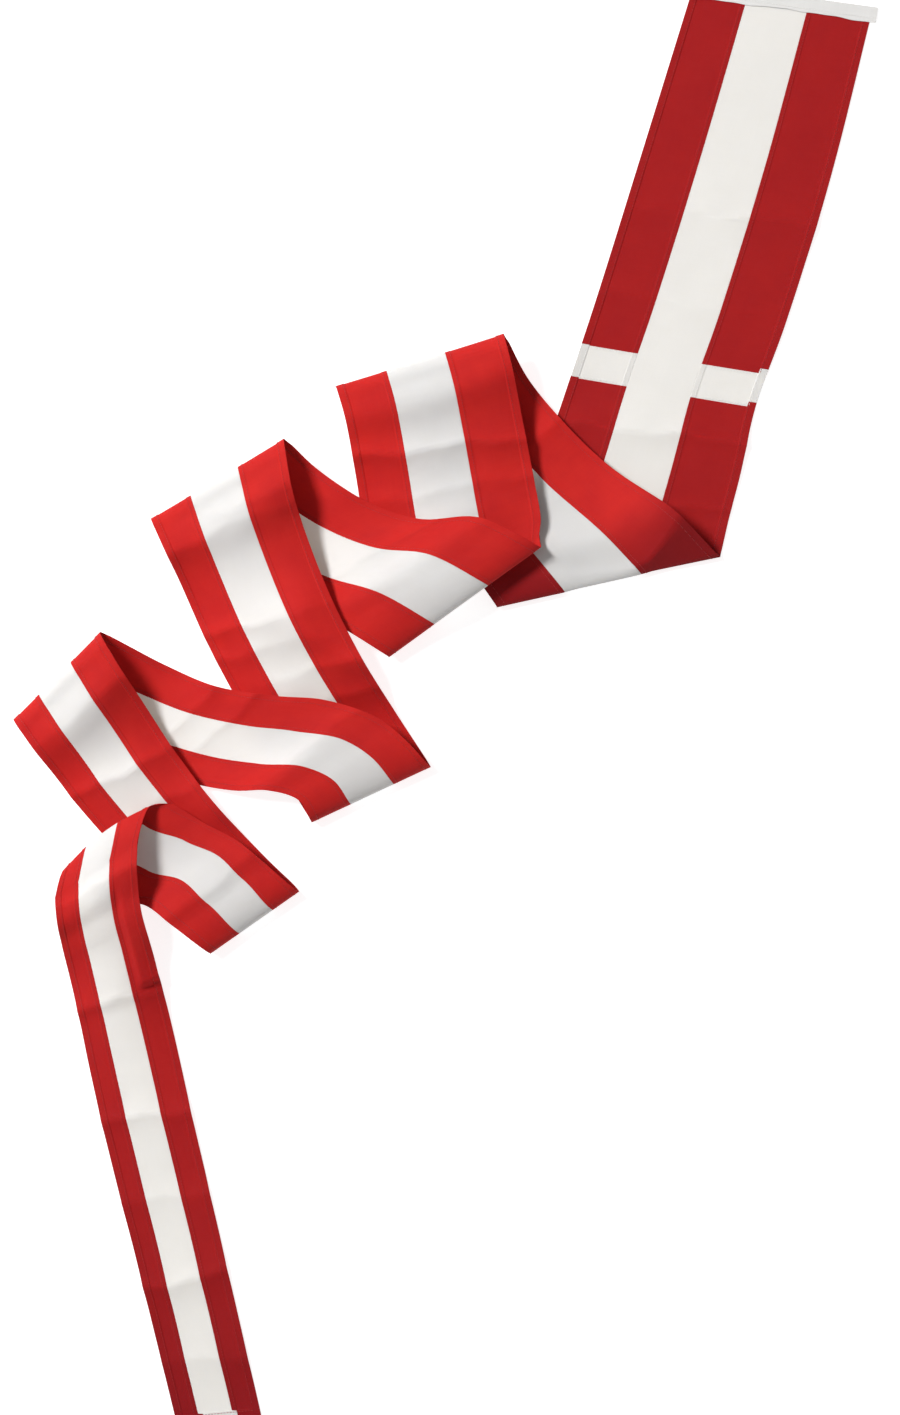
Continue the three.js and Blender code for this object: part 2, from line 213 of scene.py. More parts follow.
FOLDS = (
    Fold(
        171,
        126,
        12.7,
        1.34,
        along=655,
        shapes=(
            LoopShape(0, 19, 8, 42),
            LoopShape(0.3, 18, 8, 30),
            LoopShape(0.45, 14, 6, 18),
            LoopShape(0.62, 15, 6, 11),
            LoopShape(0.72, 20, 6, 13, 1),
            LoopShape(1, 44, 7, 52, 1),
        ),
    ),
    Fold(-27, 355, 16.8, 1.08, along=982, shapes=(LoopShape(0, 18, 8, 15), LoopShape(1, 22, 9, 16)), lift=30),
    Fold(20, 104, 35.7, 1.22, along=1266, shapes=(LoopShape(0, 30, 11, 54), LoopShape(1, 26, 12, 34))),
    Fold(-237, 231.5, 30.3, 1.08, along=1577, shapes=UPPER_LOOP, lift=30),
    Fold(-78, -97, 25, 1.0, 0.04, along=1968, shapes=(LoopShape(0, 32, 10, 46), LoopShape(1, 36, 10, 50))),
    Fold(-404, 27, 44.8, 1.03, along=2347, shapes=UPPER_LOOP, lift=28),
    Fold(-200, -231, 35, 0.99, 0.05, along=2701, shapes=(LoopShape(0, 34, 13, 40), LoopShape(1, 30, 12, 40))),
    Fold(
        -351,
        -141,
        36,
        1.03,
        along=2891,
        shapes=(LoopShape(0, 19, 10, 26), LoopShape(1, 20, 11, 26)),
        bow=7,
        slip=28,
        lift=6,
    ),
)


def rungs(*rows: tuple[float, ...]) -> tuple[Rung, ...]:
    """The rungs of one length: x, y, turn and span of each, then lean and crown where it has them."""
    return tuple(Rung(*row) for row in rows)


LENGTHS = (
    rungs(
        (305, 562, -9, 1.03),
        (258, 411, -8.5, 1.06),
        (229, 327, -9.5, 1.06),
        (206, 246, -6, 1.13),
        (189, 188, 2, 1.2),
    ),
    rungs((129, 172, 15.5, 1.24), (77, 223, 15.5, 1.11), (35, 272, 14.5, 1.05), (1, 317, 15, 1.03)),
    rungs(
        (-17, 318, 15, 1.08, 0, 4.5),
        (-6, 262, 13, 1.1, 0, 7.5),
        (4, 205, 15, 1.13, 0, 6),
        (13, 155, 23, 1.16),
    ),
    rungs((-40, 136, 37, 1.17), (-95, 148, 31.5, 1.05), (-150, 172, 28, 1.02), (-200, 204, 30, 1.02)),
    rungs(
        (-220, 175, 26, 0.98, 0, 10.5),
        (-190, 98, 21, 0.96, 0, 16.5),
        (-155, 28, 17, 0.98, 0, 12),
        (-118, -33, 18.5, 0.99),
    ),
    rungs(
        (-97, -71, 29.5, 0.94, 0.04),
        (-128, -54, 34, 1.01, 0.04),
        (-174, -45, 44, 1.02),
        (-223, -39, 45, 0.98),
        (-284, -24, 43, 0.92),
        (-338, -3, 42, 0.96),
    ),
    rungs(
        (-374, -19, 43.5, 1.0, 0, 9),
        (-333, -81, 36, 0.96, 0, 15),
        (-285, -140, 30.5, 0.95, 0, 10.5),
        (-240, -190, 31, 0.97),
    ),
    rungs((-234, -202, 34, 1.03, 0.1), (-265, -178, 35, 1.06, 0.13), (-300, -167, 39, 1.17, 0.13)),
    rungs(
        (-359, -225, 31, 0.93, 0, 10.5),
        (-351, -268, 25, 0.92, 0, 13.5),
        (-342, -310, 17, 0.91, 0, 9),
        (-330, -367, 10.5, 0.94, 0, 4.5),
        (-309, -460, 9.5, 0.97),
        (-276, -596, 11.5, 0.98),
    ),
)


def smooth_rail(stations: np.ndarray, at: np.ndarray) -> np.ndarray:
    """A centripetal Catmull-Rom curve: cubic pieces whose slopes weigh each gap by its square root.

    Args:
        stations: Points that the curve passes through, one per row.
        at: Places along it, from 0 at the first station to the last station's number.

    Returns:
        The points at those places.
    """
    before = 2 * stations[:1] - stations[1:2]
    after = 2 * stations[-1:] - stations[-2:-1]
    ends = np.vstack([before, stations, after])
    gap = np.linalg.norm(np.diff(ends, axis=0), axis=1) ** 0.5
    first = np.clip(at.astype(int), 0, len(stations) - 2)
    share = (at - first)[:, None]
    p0, p1, p2, p3 = (ends[first + k] for k in range(4))
    d0, d1, d2 = (gap[first + k][:, None] for k in range(3))
    leave = ((p1 - p0) / d0 - (p2 - p0) / (d0 + d1) + (p2 - p1) / d1) * d1
    arrive = ((p2 - p1) / d1 - (p3 - p1) / (d1 + d2) + (p3 - p2) / d2) * d1
    step = p2 - p1
    square, cube = 3 * step - 2 * leave - arrive, leave + arrive - 2 * step
    return p1 + share * leave + share**2 * square + share**3 * cube


def nearness(places: np.ndarray, reach: float) -> np.ndarray:
    """Weights that blur a row of values: a bell of width reach round each place, each row summing to 1."""
    bell = np.exp(-(((places[:, None] - places[None, :]) / reach) ** 2) / 2)
    return bell / bell.sum(axis=1, keepdims=True)


class HeightMap:
    """The height of the cloth already laid, on a square grid in plan."""

    def __init__(self, half_x: float = 560.0, half_y: float = 880.0, cell: float = 3.0) -> None:
        """Makes an empty map that reaches half_x and half_y either side of the origin."""
        self.cell = cell
        self.corner = np.array([-half_x, -half_y])
        self.heights = np.zeros((int(2 * half_x / cell), int(2 * half_y / cell)))

    def cells(self, plan: np.ndarray) -> tuple[np.ndarray, np.ndarray]:
        """Grid numbers of places in plan."""
        number = ((plan - self.corner) / self.cell).astype(int)
        return (
            np.clip(number[..., 0], 0, self.heights.shape[0] - 1),
            np.clip(number[..., 1], 0, self.heights.shape[1] - 1),
        )

    def add(self, grid: np.ndarray, parts: int = 4) -> None:
        """Marks a grid of points, with parts times parts points between neighbours, where it is highest."""
        for i in range(parts):
            rows = mix(grid[:-1], grid[1:], i / parts)
            for j in range(parts):
                points = mix(rows[:, :-1], rows[:, 1:], j / parts)
                np.maximum.at(self.heights, self.cells(points[..., :2]), points[..., 2])

    def around(self, plan: np.ndarray, reach: float) -> np.ndarray:
        """The highest cloth at each place and on two rings round it, the outer one at reach."""
        highest = self.heights[self.cells(plan)]
        for radius, count in ((reach / 2, 8), (reach, 16)):
            for angle in np.arange(count) * 2 * math.pi / count:
                shifted = plan + radius * np.array([math.cos(angle), math.sin(angle)])
                highest = np.maximum(highest, self.heights[self.cells(shifted)])
        return highest


@dataclass(frozen=True)
class Crease:
    """A fold line across the cloth, left by the packet that the pennant was stored in.

    along is its distance from the heading on the middle line, and slant is how much further along its right
    end is than its left end. left and right are how far the cloth stands up at its two ends.
    """

    along: float
    slant: float
    left: float
    right: float


@dataclass(frozen=True)
class RolledEdge:
    """A stretch where the right edge is rolled up: from start to end, outside a share of the half width."""

    start: float = 2955.0
    end: float = 3068.0
    inner: float = 0.42
    height: float = 8.0


@dataclass
class Relief:
    """Small rises of the cloth above a smooth lie: packing creases, soft waves and loose edges.

    heading_side and tail_side are how far a crease takes to fade, on its two sides.
    """

    creases: tuple[Crease, ...] = (
        Crease(240, -12, 3.2, 3.8),
        Crease(340, 8, 2.6, 1.7),
        Crease(480, -6, 6.4, 7.2),
        Crease(560, 10, 2.3, 3.5),
        Crease(845, 14, 2.9, 4.3),
        Crease(1084, 20, 8.7, 7.5),
        Crease(1128, 12, 3.8, 3.2),
        Crease(1395, -6, 3.5, 4.6),
        Crease(1638, 6, 4.6, 2.9),
        Crease(1622, 20, 0.6, 4.9),
        Crease(1742, 16, 7.5, 3.8),
        Crease(1770, 14, 5.8, 0.6),
        Crease(1806, 8, 0.3, 7.2),
        Crease(1844, -4, 0.3, 5.8),
        Crease(2066, -10, 2, 3.5),
        Crease(2164, -6, 1.2, 5.2),
        Crease(2202, 4, 1.4, 5.2),
        Crease(2403, 10, 2.3, 5.2),
        Crease(2477, 20, 6.7, 7.2),
        Crease(2524, 8, 0.6, 4.9),
        Crease(2770, 6, 4.6, 3.5),
        Crease(2944, 12, 4.3, 4.9),
        Crease(3071, 4, 6.7, 5.2),
        Crease(3197, 4, 5.8, 6.1),
        Crease(3285, 4, 2.3, 3.5),
        Crease(3370, -2, 5.8, 5.8),
        Crease(3455, 4, 2.3, 3.2),
    )
    rolled: RolledEdge = RolledEdge()
    heading_side: float = 14.0
    tail_side: float = 18.0
    wave: float = 0.7
    edge_wave: float = 1.2
    waves: int = 14
    seed: int = 11

    def ripples(
        self, along: np.ndarray, offset: np.ndarray, shortest: float, longest: float, draw: int
    ) -> np.ndarray:
        """Sum of sine waves in many directions, scaled to about -1 to 1.

        Args:
            along: Distances from the heading.
            offset: Offsets from the middle line.
            shortest: Shortest wavelength.
            longest: Longest wavelength.
            draw: Number of this set of waves, which changes its directions and phases.

        Returns:
            The height of the waves at each point.
        """
        chance = np.random.default_rng(self.seed + draw)
        total = np.zeros(np.broadcast(along, offset).shape)
        for _ in range(self.waves):
            wavelength = chance.uniform(shortest, longest)
            angle = chance.uniform(0, math.pi)
            phase = chance.uniform(0, 2 * math.pi)
            run = along * math.cos(angle) + offset * math.sin(angle)
            total += np.sin(2 * math.pi * run / wavelength + phase)
        return total / math.sqrt(2 * self.waves)

    def rise(self, along: np.ndarray, offset: np.ndarray, half_width: np.ndarray) -> np.ndarray:
        """Height above the smooth lie, never below it.

        A crease is a sharp ridge whose height fades on both sides as an exponential, so the cloth is steepest
        beside it. Waves are soft all over and larger along the free edges.

        Args:
            along: Distances from the heading.
            offset: Offsets from the middle line.
            half_width: Half the width of the cloth there.

        Returns:
            The rise in millimetres.
        """
        side = np.clip(offset / half_width, -1, 1)
        total = self.wave * (1.4 + self.ripples(along, offset, 70, 190, 1))
        loose = np.abs(side) ** 5
        total = total + self.edge_wave * loose * (1.0 + self.ripples(along, offset * 0.2, 38, 110, 2)) / 1.5
        for crease in self.creases:
            wander = 2.2 * np.sin(offset / 17 + crease.along) + 1.2 * np.sin(offset / 7.3 + crease.slant)
            gap = along - crease.along - crease.slant * side / 2 - wander
            fade = np.where(gap < 0, self.heading_side, self.tail_side)
            total = total + mix(crease.left, crease.right, (side + 1) / 2) * np.exp(-np.abs(gap) / fade)
        rolled = self.rolled
        outside = ease((side - rolled.inner) / 0.2)
        within = ease((along - rolled.start) / 45) * (1 - ease((along - rolled.end + 4) / 4))
        return total + rolled.height * outside * within


class LaidCloth:
    """The middle surface of the whole pennant as it lies: rows of points from the heading to the tail.

    layer_step is the height of one length above the next. A length comes down from its loop over
    settle_distance, or rises to it over join_distance. loop_spare is the cloth that half a loop takes up.
    A point feels the cloth below it as far away as climb_reach. The two reaches of a blur are along and
    across the cloth.
    """

    columns = 40
    row_spacing = 4.0
    loop_spacing = 2.8
    layer_step = 3.2
    floor_gap = 0.5
    heading_lift = 1.2
    flat_heading = 20.0
    settle_distance = 260.0
    join_distance = 45.0
    loop_spare = 10.0
    climb_reach = 28.0
    spread_passes = 5
    spread_reach = (22.0, 16.0)
    smooth_reach = (12.0, 9.0)

    def __init__(self, cut: CutSizes, relief: Relief) -> None:
        """Lays the nine lengths and the eight loops, one on another."""
        self.cut = cut
        self.relief = relief
        self.shares = np.linspace(0.0, 1.0, self.columns + 1)
        self.arch = 4 * self.shares * (1 - self.shares)
        self.below = HeightMap()
        self.alongs = np.zeros(0)
        self.points = np.zeros((0, self.columns + 1, 3))
        start = 0.0
        for index in range(len(LENGTHS)):
            start = self._lay_length(index, start)
            if index < len(FOLDS):
                start = self._lay_loop(index, start)
        self.normals = self._find_normals()

    def outline(self, index: int) -> list[Rung]:
        """All rungs of one length, with the heading, fold or tail at its two ends."""
        first = FOLDS[index - 1] if index else HEADING
        last = FOLDS[index] if index < len(FOLDS) else TAIL
        return [first, *LENGTHS[index], last]

    def _rung_ends(self, rung: Rung, along: float) -> np.ndarray:
        """Left and right ends of a rung, one per row."""
        middle = np.array([rung.x, rung.y])
        half = rung.across * rung.span * self.cut.cloth_width(along) / 2
        return np.array([middle - half, middle + half])

    def _outwards(self, index: int) -> np.ndarray:
        """The direction, square to the fold, in which its loop stands out."""
        fold, near = FOLDS[index], LENGTHS[index][-1]
        square = np.array([-fold.across[1], fold.across[0]])
        return square * np.sign(square @ [fold.x - near.x, fold.y - near.y])

    def _inwards(self, index: int) -> np.ndarray:
        """Step along the cloth's edges, away from the fold, for each millimetre square to it."""
        fold, near = FOLDS[index], LENGTHS[index][-1]
        run = np.array([near.x - fold.x, near.y - fold.y])
        return run / abs(run @ self._outwards(index))

    def _stations(self, index: int, start: float) -> tuple[np.ndarray, np.ndarray]:
        """Distances in plan of a length's rungs along its middle, and their ends as (rung, end, x or y).

        The first rung is the heading or the outline of the loop before. The last one is the tail or the foot
        of the loop after, which is one nose inside its outline.
        """
        rungs = self.outline(index)
        middles = np.array([[rung.x, rung.y] for rung in rungs])
        steps = np.linalg.norm(np.diff(middles, axis=0), axis=1)
        if index < len(FOLDS):
            steps[-1] -= FOLDS[index].size("nose", 0.5)
        runs = np.concatenate([[0.0], np.cumsum(steps)])
        ends = np.array([self._rung_ends(rung, start + run) for rung, run in zip(rungs, runs)])
        if index:
            fold = FOLDS[index - 1]
            ends[0] -= fold.across * fold.slip / 2
        if index < len(FOLDS):
            fold = FOLDS[index]
            nose = fold.size("nose", np.array([0, 1]))
            ends[-1] += fold.across * fold.slip / 2 + np.outer(nose, self._inwards(index))
        return runs, ends

    def _plan(self, index: int, start: float, run: np.ndarray) -> np.ndarray:
        """Points of a length in plan.

        Each rail is a smooth curve through the rungs' ends, and a row is a straight line between the rails,
        whose middle moves towards the right end by the lean.

        Args:
            index: Number of the length.
            start: Distance from the heading of its first rung.
            run: Distances in plan from the first rung, as (row, column).

        Returns:
            The points, as (row, column, x or y).
        """
        runs, ends = self._stations(index, start)
        at = np.interp(run, runs, np.arange(len(runs)))
        left, right = (smooth_rail(ends[:, end], at.ravel()).reshape(*at.shape, 2) for end in (0, 1))
        share = self.shares[None, :] + self._between_rungs(index, "lean", at) * self.arch
        return mix(left, right, share[:, :, None])

    def _between_rungs(self, index: int, key: str, at: np.ndarray) -> np.ndarray:
        """A value of a length's rungs at some places between them, eased from each rung to the next."""
        values = np.array([getattr(rung, key) for rung in self.outline(index)])
        first = np.clip(at.astype(int), 0, len(values) - 2)
        return mix(values[first], values[first + 1], ease(at - first))

    def _floor(self, index: int, stops: np.ndarray) -> np.ndarray:
        """The lowest height of each row: just off the floor, and inside the tape at the heading."""
        height = np.full((len(stops), 1), self.floor_gap)
        if index == 0:
            height = mix(self.heading_lift, height, ease((stops[:, None] - self.flat_heading) / 26))
        return height

    def _relief(self, stops: np.ndarray) -> np.ndarray:
        """The small rises at each point of some rows. The heading, inside its tape, stays flat."""
        half = self.cut.cloth_width(stops)[:, None] / 2
        offset = (self.shares[None, :] * 2 - 1) * half
        rise = self.relief.rise(stops[:, None], offset, half)
        return rise * ease((stops[:, None] - self.flat_heading) / 60)

    def _rest(self, index: int, stops: np.ndarray, plan: np.ndarray) -> np.ndarray:
        """Resting heights: on the floor or on the cloth below, eased so that nothing turns sharply.

        The smooth lie is found by lifting every point to a blurred copy of the heights, several times, and
        blurring once more. The small rises are added to it.
        """
        below = self.below.around(plan, self.climb_reach)
        rest = np.maximum(self._floor(index, stops), np.where(below > 0, below + self.layer_step, 0))
        places = stops, self.shares * self.cut.cloth_width(stops).mean()
        rows, columns = (nearness(*pair) for pair in zip(places, self.spread_reach))
        for _ in range(self.spread_passes):
            rest = np.maximum(rest, rows @ rest @ columns.T)
        rows, columns = (nearness(*pair) for pair in zip(places, self.smooth_reach))
        return rows @ rest @ columns.T + self._relief(stops)

    def _append(self, stops: np.ndarray, points: np.ndarray) -> None:
        """Adds rows to the surface."""
        self.alongs = np.concatenate([self.alongs, stops])
        self.points = np.concatenate([self.points, points])

    def _lay_length(self, index: int, start: float) -> float:
        """Lays one length from its loop's crest to its rest, and returns the distance along at its end."""
        first = np.zeros(self.columns + 1)
        if index:
            first = FOLDS[index - 1].size("crest", self.shares)
        outline = start - float(first[self.columns // 2])
        runs = self._stations(index, outline)[0]
        last = runs[-1]
        length = self.cut.length - start if index == len(FOLDS) else outline + last - start
        share = np.linspace(0, 1, round(length / self.row_spacing) + 1)
        stops = start + share * length
        plan = self._plan(index, outline, mix(first[None, :], last, share[:, None]))
        height = self._rest(index, stops, plan)
        at = np.interp(share * last, runs, np.arange(len(runs)))
        height = height + self._between_rungs(index, "crown", at)[:, None] * self.arch
        if index < len(FOLDS):
            fold = FOLDS[index]
            climbed = np.maximum(1 - (stops[-1] - stops) / fold.climb, 0)[:, None] ** 2
            height = height + fold.lift * climbed * mix(0.75, 1.1, self.shares)
        if index:
            gap = self.points[-1, :, 2] - height[0]
            down = 1 - ease((stops - start) / min(self.settle_distance, length))[:, None]
            up = 1 - ease((stops - start) / self.join_distance)[:, None]
            height = height + np.maximum(gap, 0) * down + np.minimum(gap, 0) * up
        points = np.concatenate([plan, height[:, :, None]], axis=2)
        self.below.add(points)
        skip = 1 if index else 0
        self._append(stops[skip:], points[skip:])
        return float(stops[-1])

    def _lay_loop(self, index: int, start: float) -> float:
        """Turns the cloth over and back.

        From the foot to the outline it is a quarter of a circle of the nose's radius. From the outline to the
        crest it follows the rails of the next length, and rises as a quarter of an ellipse, or on a straight
        slope where the fold is pressed. The distance from the heading of the crest is that of the outline on
        the flat cloth, plus the spare cloth of half a loop, plus the way back from the outline.
        """
        fold = FOLDS[index]
        nose, crest, height, pressed = (
            fold.size(key, self.shares)[None, :] for key in ("nose", "crest", "height", "pressed")
        )
        bow = (fold.bow * self.arch)[None, :, None] * self._outwards(index)
        foot = self.points[-1]

        count = max(round(fold.lower_length / self.loop_spacing), 6)
        turned = (np.arange(count) + 1)[:, None] / count
        rise = np.sin(turned * math.pi / 2)
        low_plan = foot[None, :, :2] - (nose * rise)[:, :, None] * self._inwards(index)
        low_plan = low_plan + bow * rise[:, :, None] - (fold.slip / 2 * turned)[:, :, None] * fold.across
        low_level = foot[None, :, 2] + nose * (1 - np.cos(turned * math.pi / 2))
        low = np.concatenate([low_plan, low_level[:, :, None]], axis=2)
        low_arc = fold.lower_length * turned[:, 0]

        count = max(round(fold.upper_length / self.loop_spacing), 8)
        closing = (np.arange(count) + 1)[:, None] / count
        back = crest * mix(1 - np.cos(closing * math.pi / 2), closing, pressed)
        lift = (height - nose) * mix(np.sin(closing * math.pi / 2), closing, pressed)
        high_plan = self._plan(index + 1, fold.along + self.loop_spare, back)
        high_plan = high_plan + bow * ((1 - closing) ** 2)[:, :, None]
        high_plan = high_plan + (fold.slip / 2 * (1 - closing))[:, :, None] * fold.across
        high_level = foot[None, :, 2] + nose + lift
        high = np.concatenate([high_plan, high_level[:, :, None]], axis=2)
        high_arc = fold.lower_length + fold.upper_length * closing[:, 0]
        end = fold.along + self.loop_spare + float(crest[0, self.columns // 2])
        arc = np.concatenate([low_arc, high_arc]) / (fold.lower_length + fold.upper_length)

        points = np.concatenate([low, high])
        self.below.add(np.concatenate([foot[None], points]))
        self._append(start + (end - start) * arc, points)
        LOG.info("loop %d: foot %.0f mm, top %.0f mm", index + 1, foot[:, 2].max(), high_level.max())
        return end

    def _find_normals(self) -> np.ndarray:
        """Unit vectors square to the cloth, towards the front: along crossed with across."""
        along = np.gradient(self.points, axis=0)
        across = np.gradient(self.points, axis=1)
        square = np.cross(along, across)
        return square / np.linalg.norm(square, axis=2, keepdims=True)

    def place(self, along: np.ndarray, offset: np.ndarray, height: np.ndarray) -> np.ndarray:
        """Points of the cloth, on smooth cubic pieces between the rows and columns.

        Args:
            along: Distances from the heading.
            offset: Offsets to the right of the middle line.
            height: Heights above the middle surface, towards the front.

        Returns:
            The points, in the layout's millimetres.
        """
        along, offset, height = np.broadcast_arrays(along, offset, height)
        column = np.clip(offset / self.cut.cloth_width(along) + 0.5, 0, 1) * self.columns
        row = np.interp(along, self.alongs, np.arange(len(self.alongs)))
        rows, row_weights = cubic_weights(row, len(self.alongs))
        columns, column_weights = cubic_weights(column, self.columns + 1)
        points = np.zeros((*along.shape, 3))
        normals = np.zeros((*along.shape, 3))
        for i in range(4):
            for j in range(4):
                weight = (row_weights[i] * column_weights[j])[..., None]
                points += weight * self.points[rows[i], columns[j]]
                normals += weight * self.normals[rows[i], columns[j]]
        normals /= np.linalg.norm(normals, axis=-1, keepdims=True)
        return points + normals * height[..., None]


def cubic_weights(at: np.ndarray, count: int) -> tuple[list[np.ndarray], list[np.ndarray]]:
    """Numbers and weights of the four neighbours of each place on an even grid, for a smooth cubic blend.

    Args:
        at: Places, in steps of the grid.
        count: How many points the grid has.

    Returns:
        The four neighbours' numbers and their four weights.
    """
    first = np.clip(np.floor(at).astype(int), 0, count - 2)
    s = at - first
    numbers = [np.clip(first + k, 0, count - 1) for k in (-1, 0, 1, 2)]
    weights = [
        ((2 - s) * s - 1) * s / 2,
        ((3 * s - 5) * s * s + 2) / 2,
        ((4 - 3 * s) * s + 1) * s / 2,
        (s - 1) * s * s / 2,
    ]
    return numbers, weights


# ---------------------------------------------------------------- meshes


class Workshop:
    """Turns arrays of points into Blender pieces in the row frame."""

    def __init__(self, cloth: LaidCloth) -> None:
        """Keeps the cloth. The shift from the layout to the row frame is set from the frame's heading."""
        self.cloth = cloth
        self.shift = np.zeros(3)

    def piece(
        self,
        name: str,
        points: np.ndarray,
        faces: np.ndarray,
        sheet_place: np.ndarray,
        material: bpy.types.Material,
    ) -> bpy.types.Object:
        """Makes one mesh piece with smooth shading.

        Args:
            name: The piece's name.
            points: Its points, in the layout's millimetres.
            faces: Its faces, as rows of three or four point numbers that run counter-clockwise from outside.
            sheet_place: Offset and distance along of each point, in millimetres, kept as the map "cloth".
            material: Its finish.

        Returns:
            The new object, at the origin, in metres.
        """
        mesh = bpy.data.meshes.new(name)
        vertices = (points.reshape(-1, 3) + self.shift) * METRES_PER_MM
        mesh.from_pydata(vertices.tolist(), [], faces.tolist())
        mesh.polygons.foreach_set("use_smooth", np.ones(len(mesh.polygons), bool))
        corners = np.zeros(len(mesh.loops), np.int32)
        mesh.loops.foreach_get("vertex_index", corners)
        layer = mesh.uv_layers.new(name="cloth")
        flat = sheet_place.reshape(-1, 2)[corners] * METRES_PER_MM
        layer.uv.foreach_set("vector", flat.astype(np.float32).ravel())
        mesh.materials.append(material)
        mesh.validate()
        mesh.update()
        made = bpy.data.objects.new(name, mesh)
        bpy.context.scene.collection.objects.link(made)
        return made


def ring_faces(rows: int, around: int) -> np.ndarray:
    """Faces of a closed tube of rows rings with around points each, and caps of quads at both ends.

    Each ring runs along the back face from left to right and returns along the front face, so a cap joins
    the points that face each other.

    Args:
        rows: How many rings.
        around: How many points in a ring, an even number.

    Returns:
        Four point numbers per face.
    """
    i = np.arange(rows - 1)[:, None] * around
    k = np.arange(around)[None, :]
    after = (k + 1) % around
    walls = np.stack([i + k, i + around + k, i + around + after, i + after], axis=-1).reshape(-1, 4)
    k = np.arange(around // 2 - 1)
    cap = np.stack([k, k + 1, around - 2 - k, around - 1 - k], axis=-1)
    last = cap[:, ::-1] + (rows - 1) * around
    return np.concatenate([walls, cap, last])


@dataclass
class Make:
    """How the cloth is made up: its thickness, its turned edges and its felled seams.

    front_slip is how much further along the front of a turned hem shows its colours. A row inset is how far
    a row of stitches lies from the edge of its seam, hem, bar or tail.
    """

    thickness: float = 0.36
    hem_depth: float = 8.2
    hem_rise: float = 0.45
    fell_width: float = 5.5
    fell_rise: float = 0.28
    tail_depth: float = 9.0
    tail_turn: float = 5.0
    front_slip: dict[Side, float] = field(default_factory=lambda: {Side.LEFT: 1.0, Side.RIGHT: 5.5})
    seam_gap: float = 0.04
    sewn_from: float = 18.0
    seam_row_inset: float = 1.2
    hem_row_inset: float = 1.3
    bar_row_inset: float = 1.8
    tail_row_inset: float = 1.6
    edge_round: float = 0.3
    edge_share: float = 0.3
    pucker: float = 0.13
    pucker_length: float = 8.5

    def rounding(self, inset: np.ndarray) -> np.ndarray:
        """Share of the full thickness near an edge: a quarter of an ellipse over edge_round."""
        share = np.clip(inset / self.edge_round, 0, 1)
        return self.edge_share + (1 - self.edge_share) * np.sqrt(1 - (1 - share) ** 2)


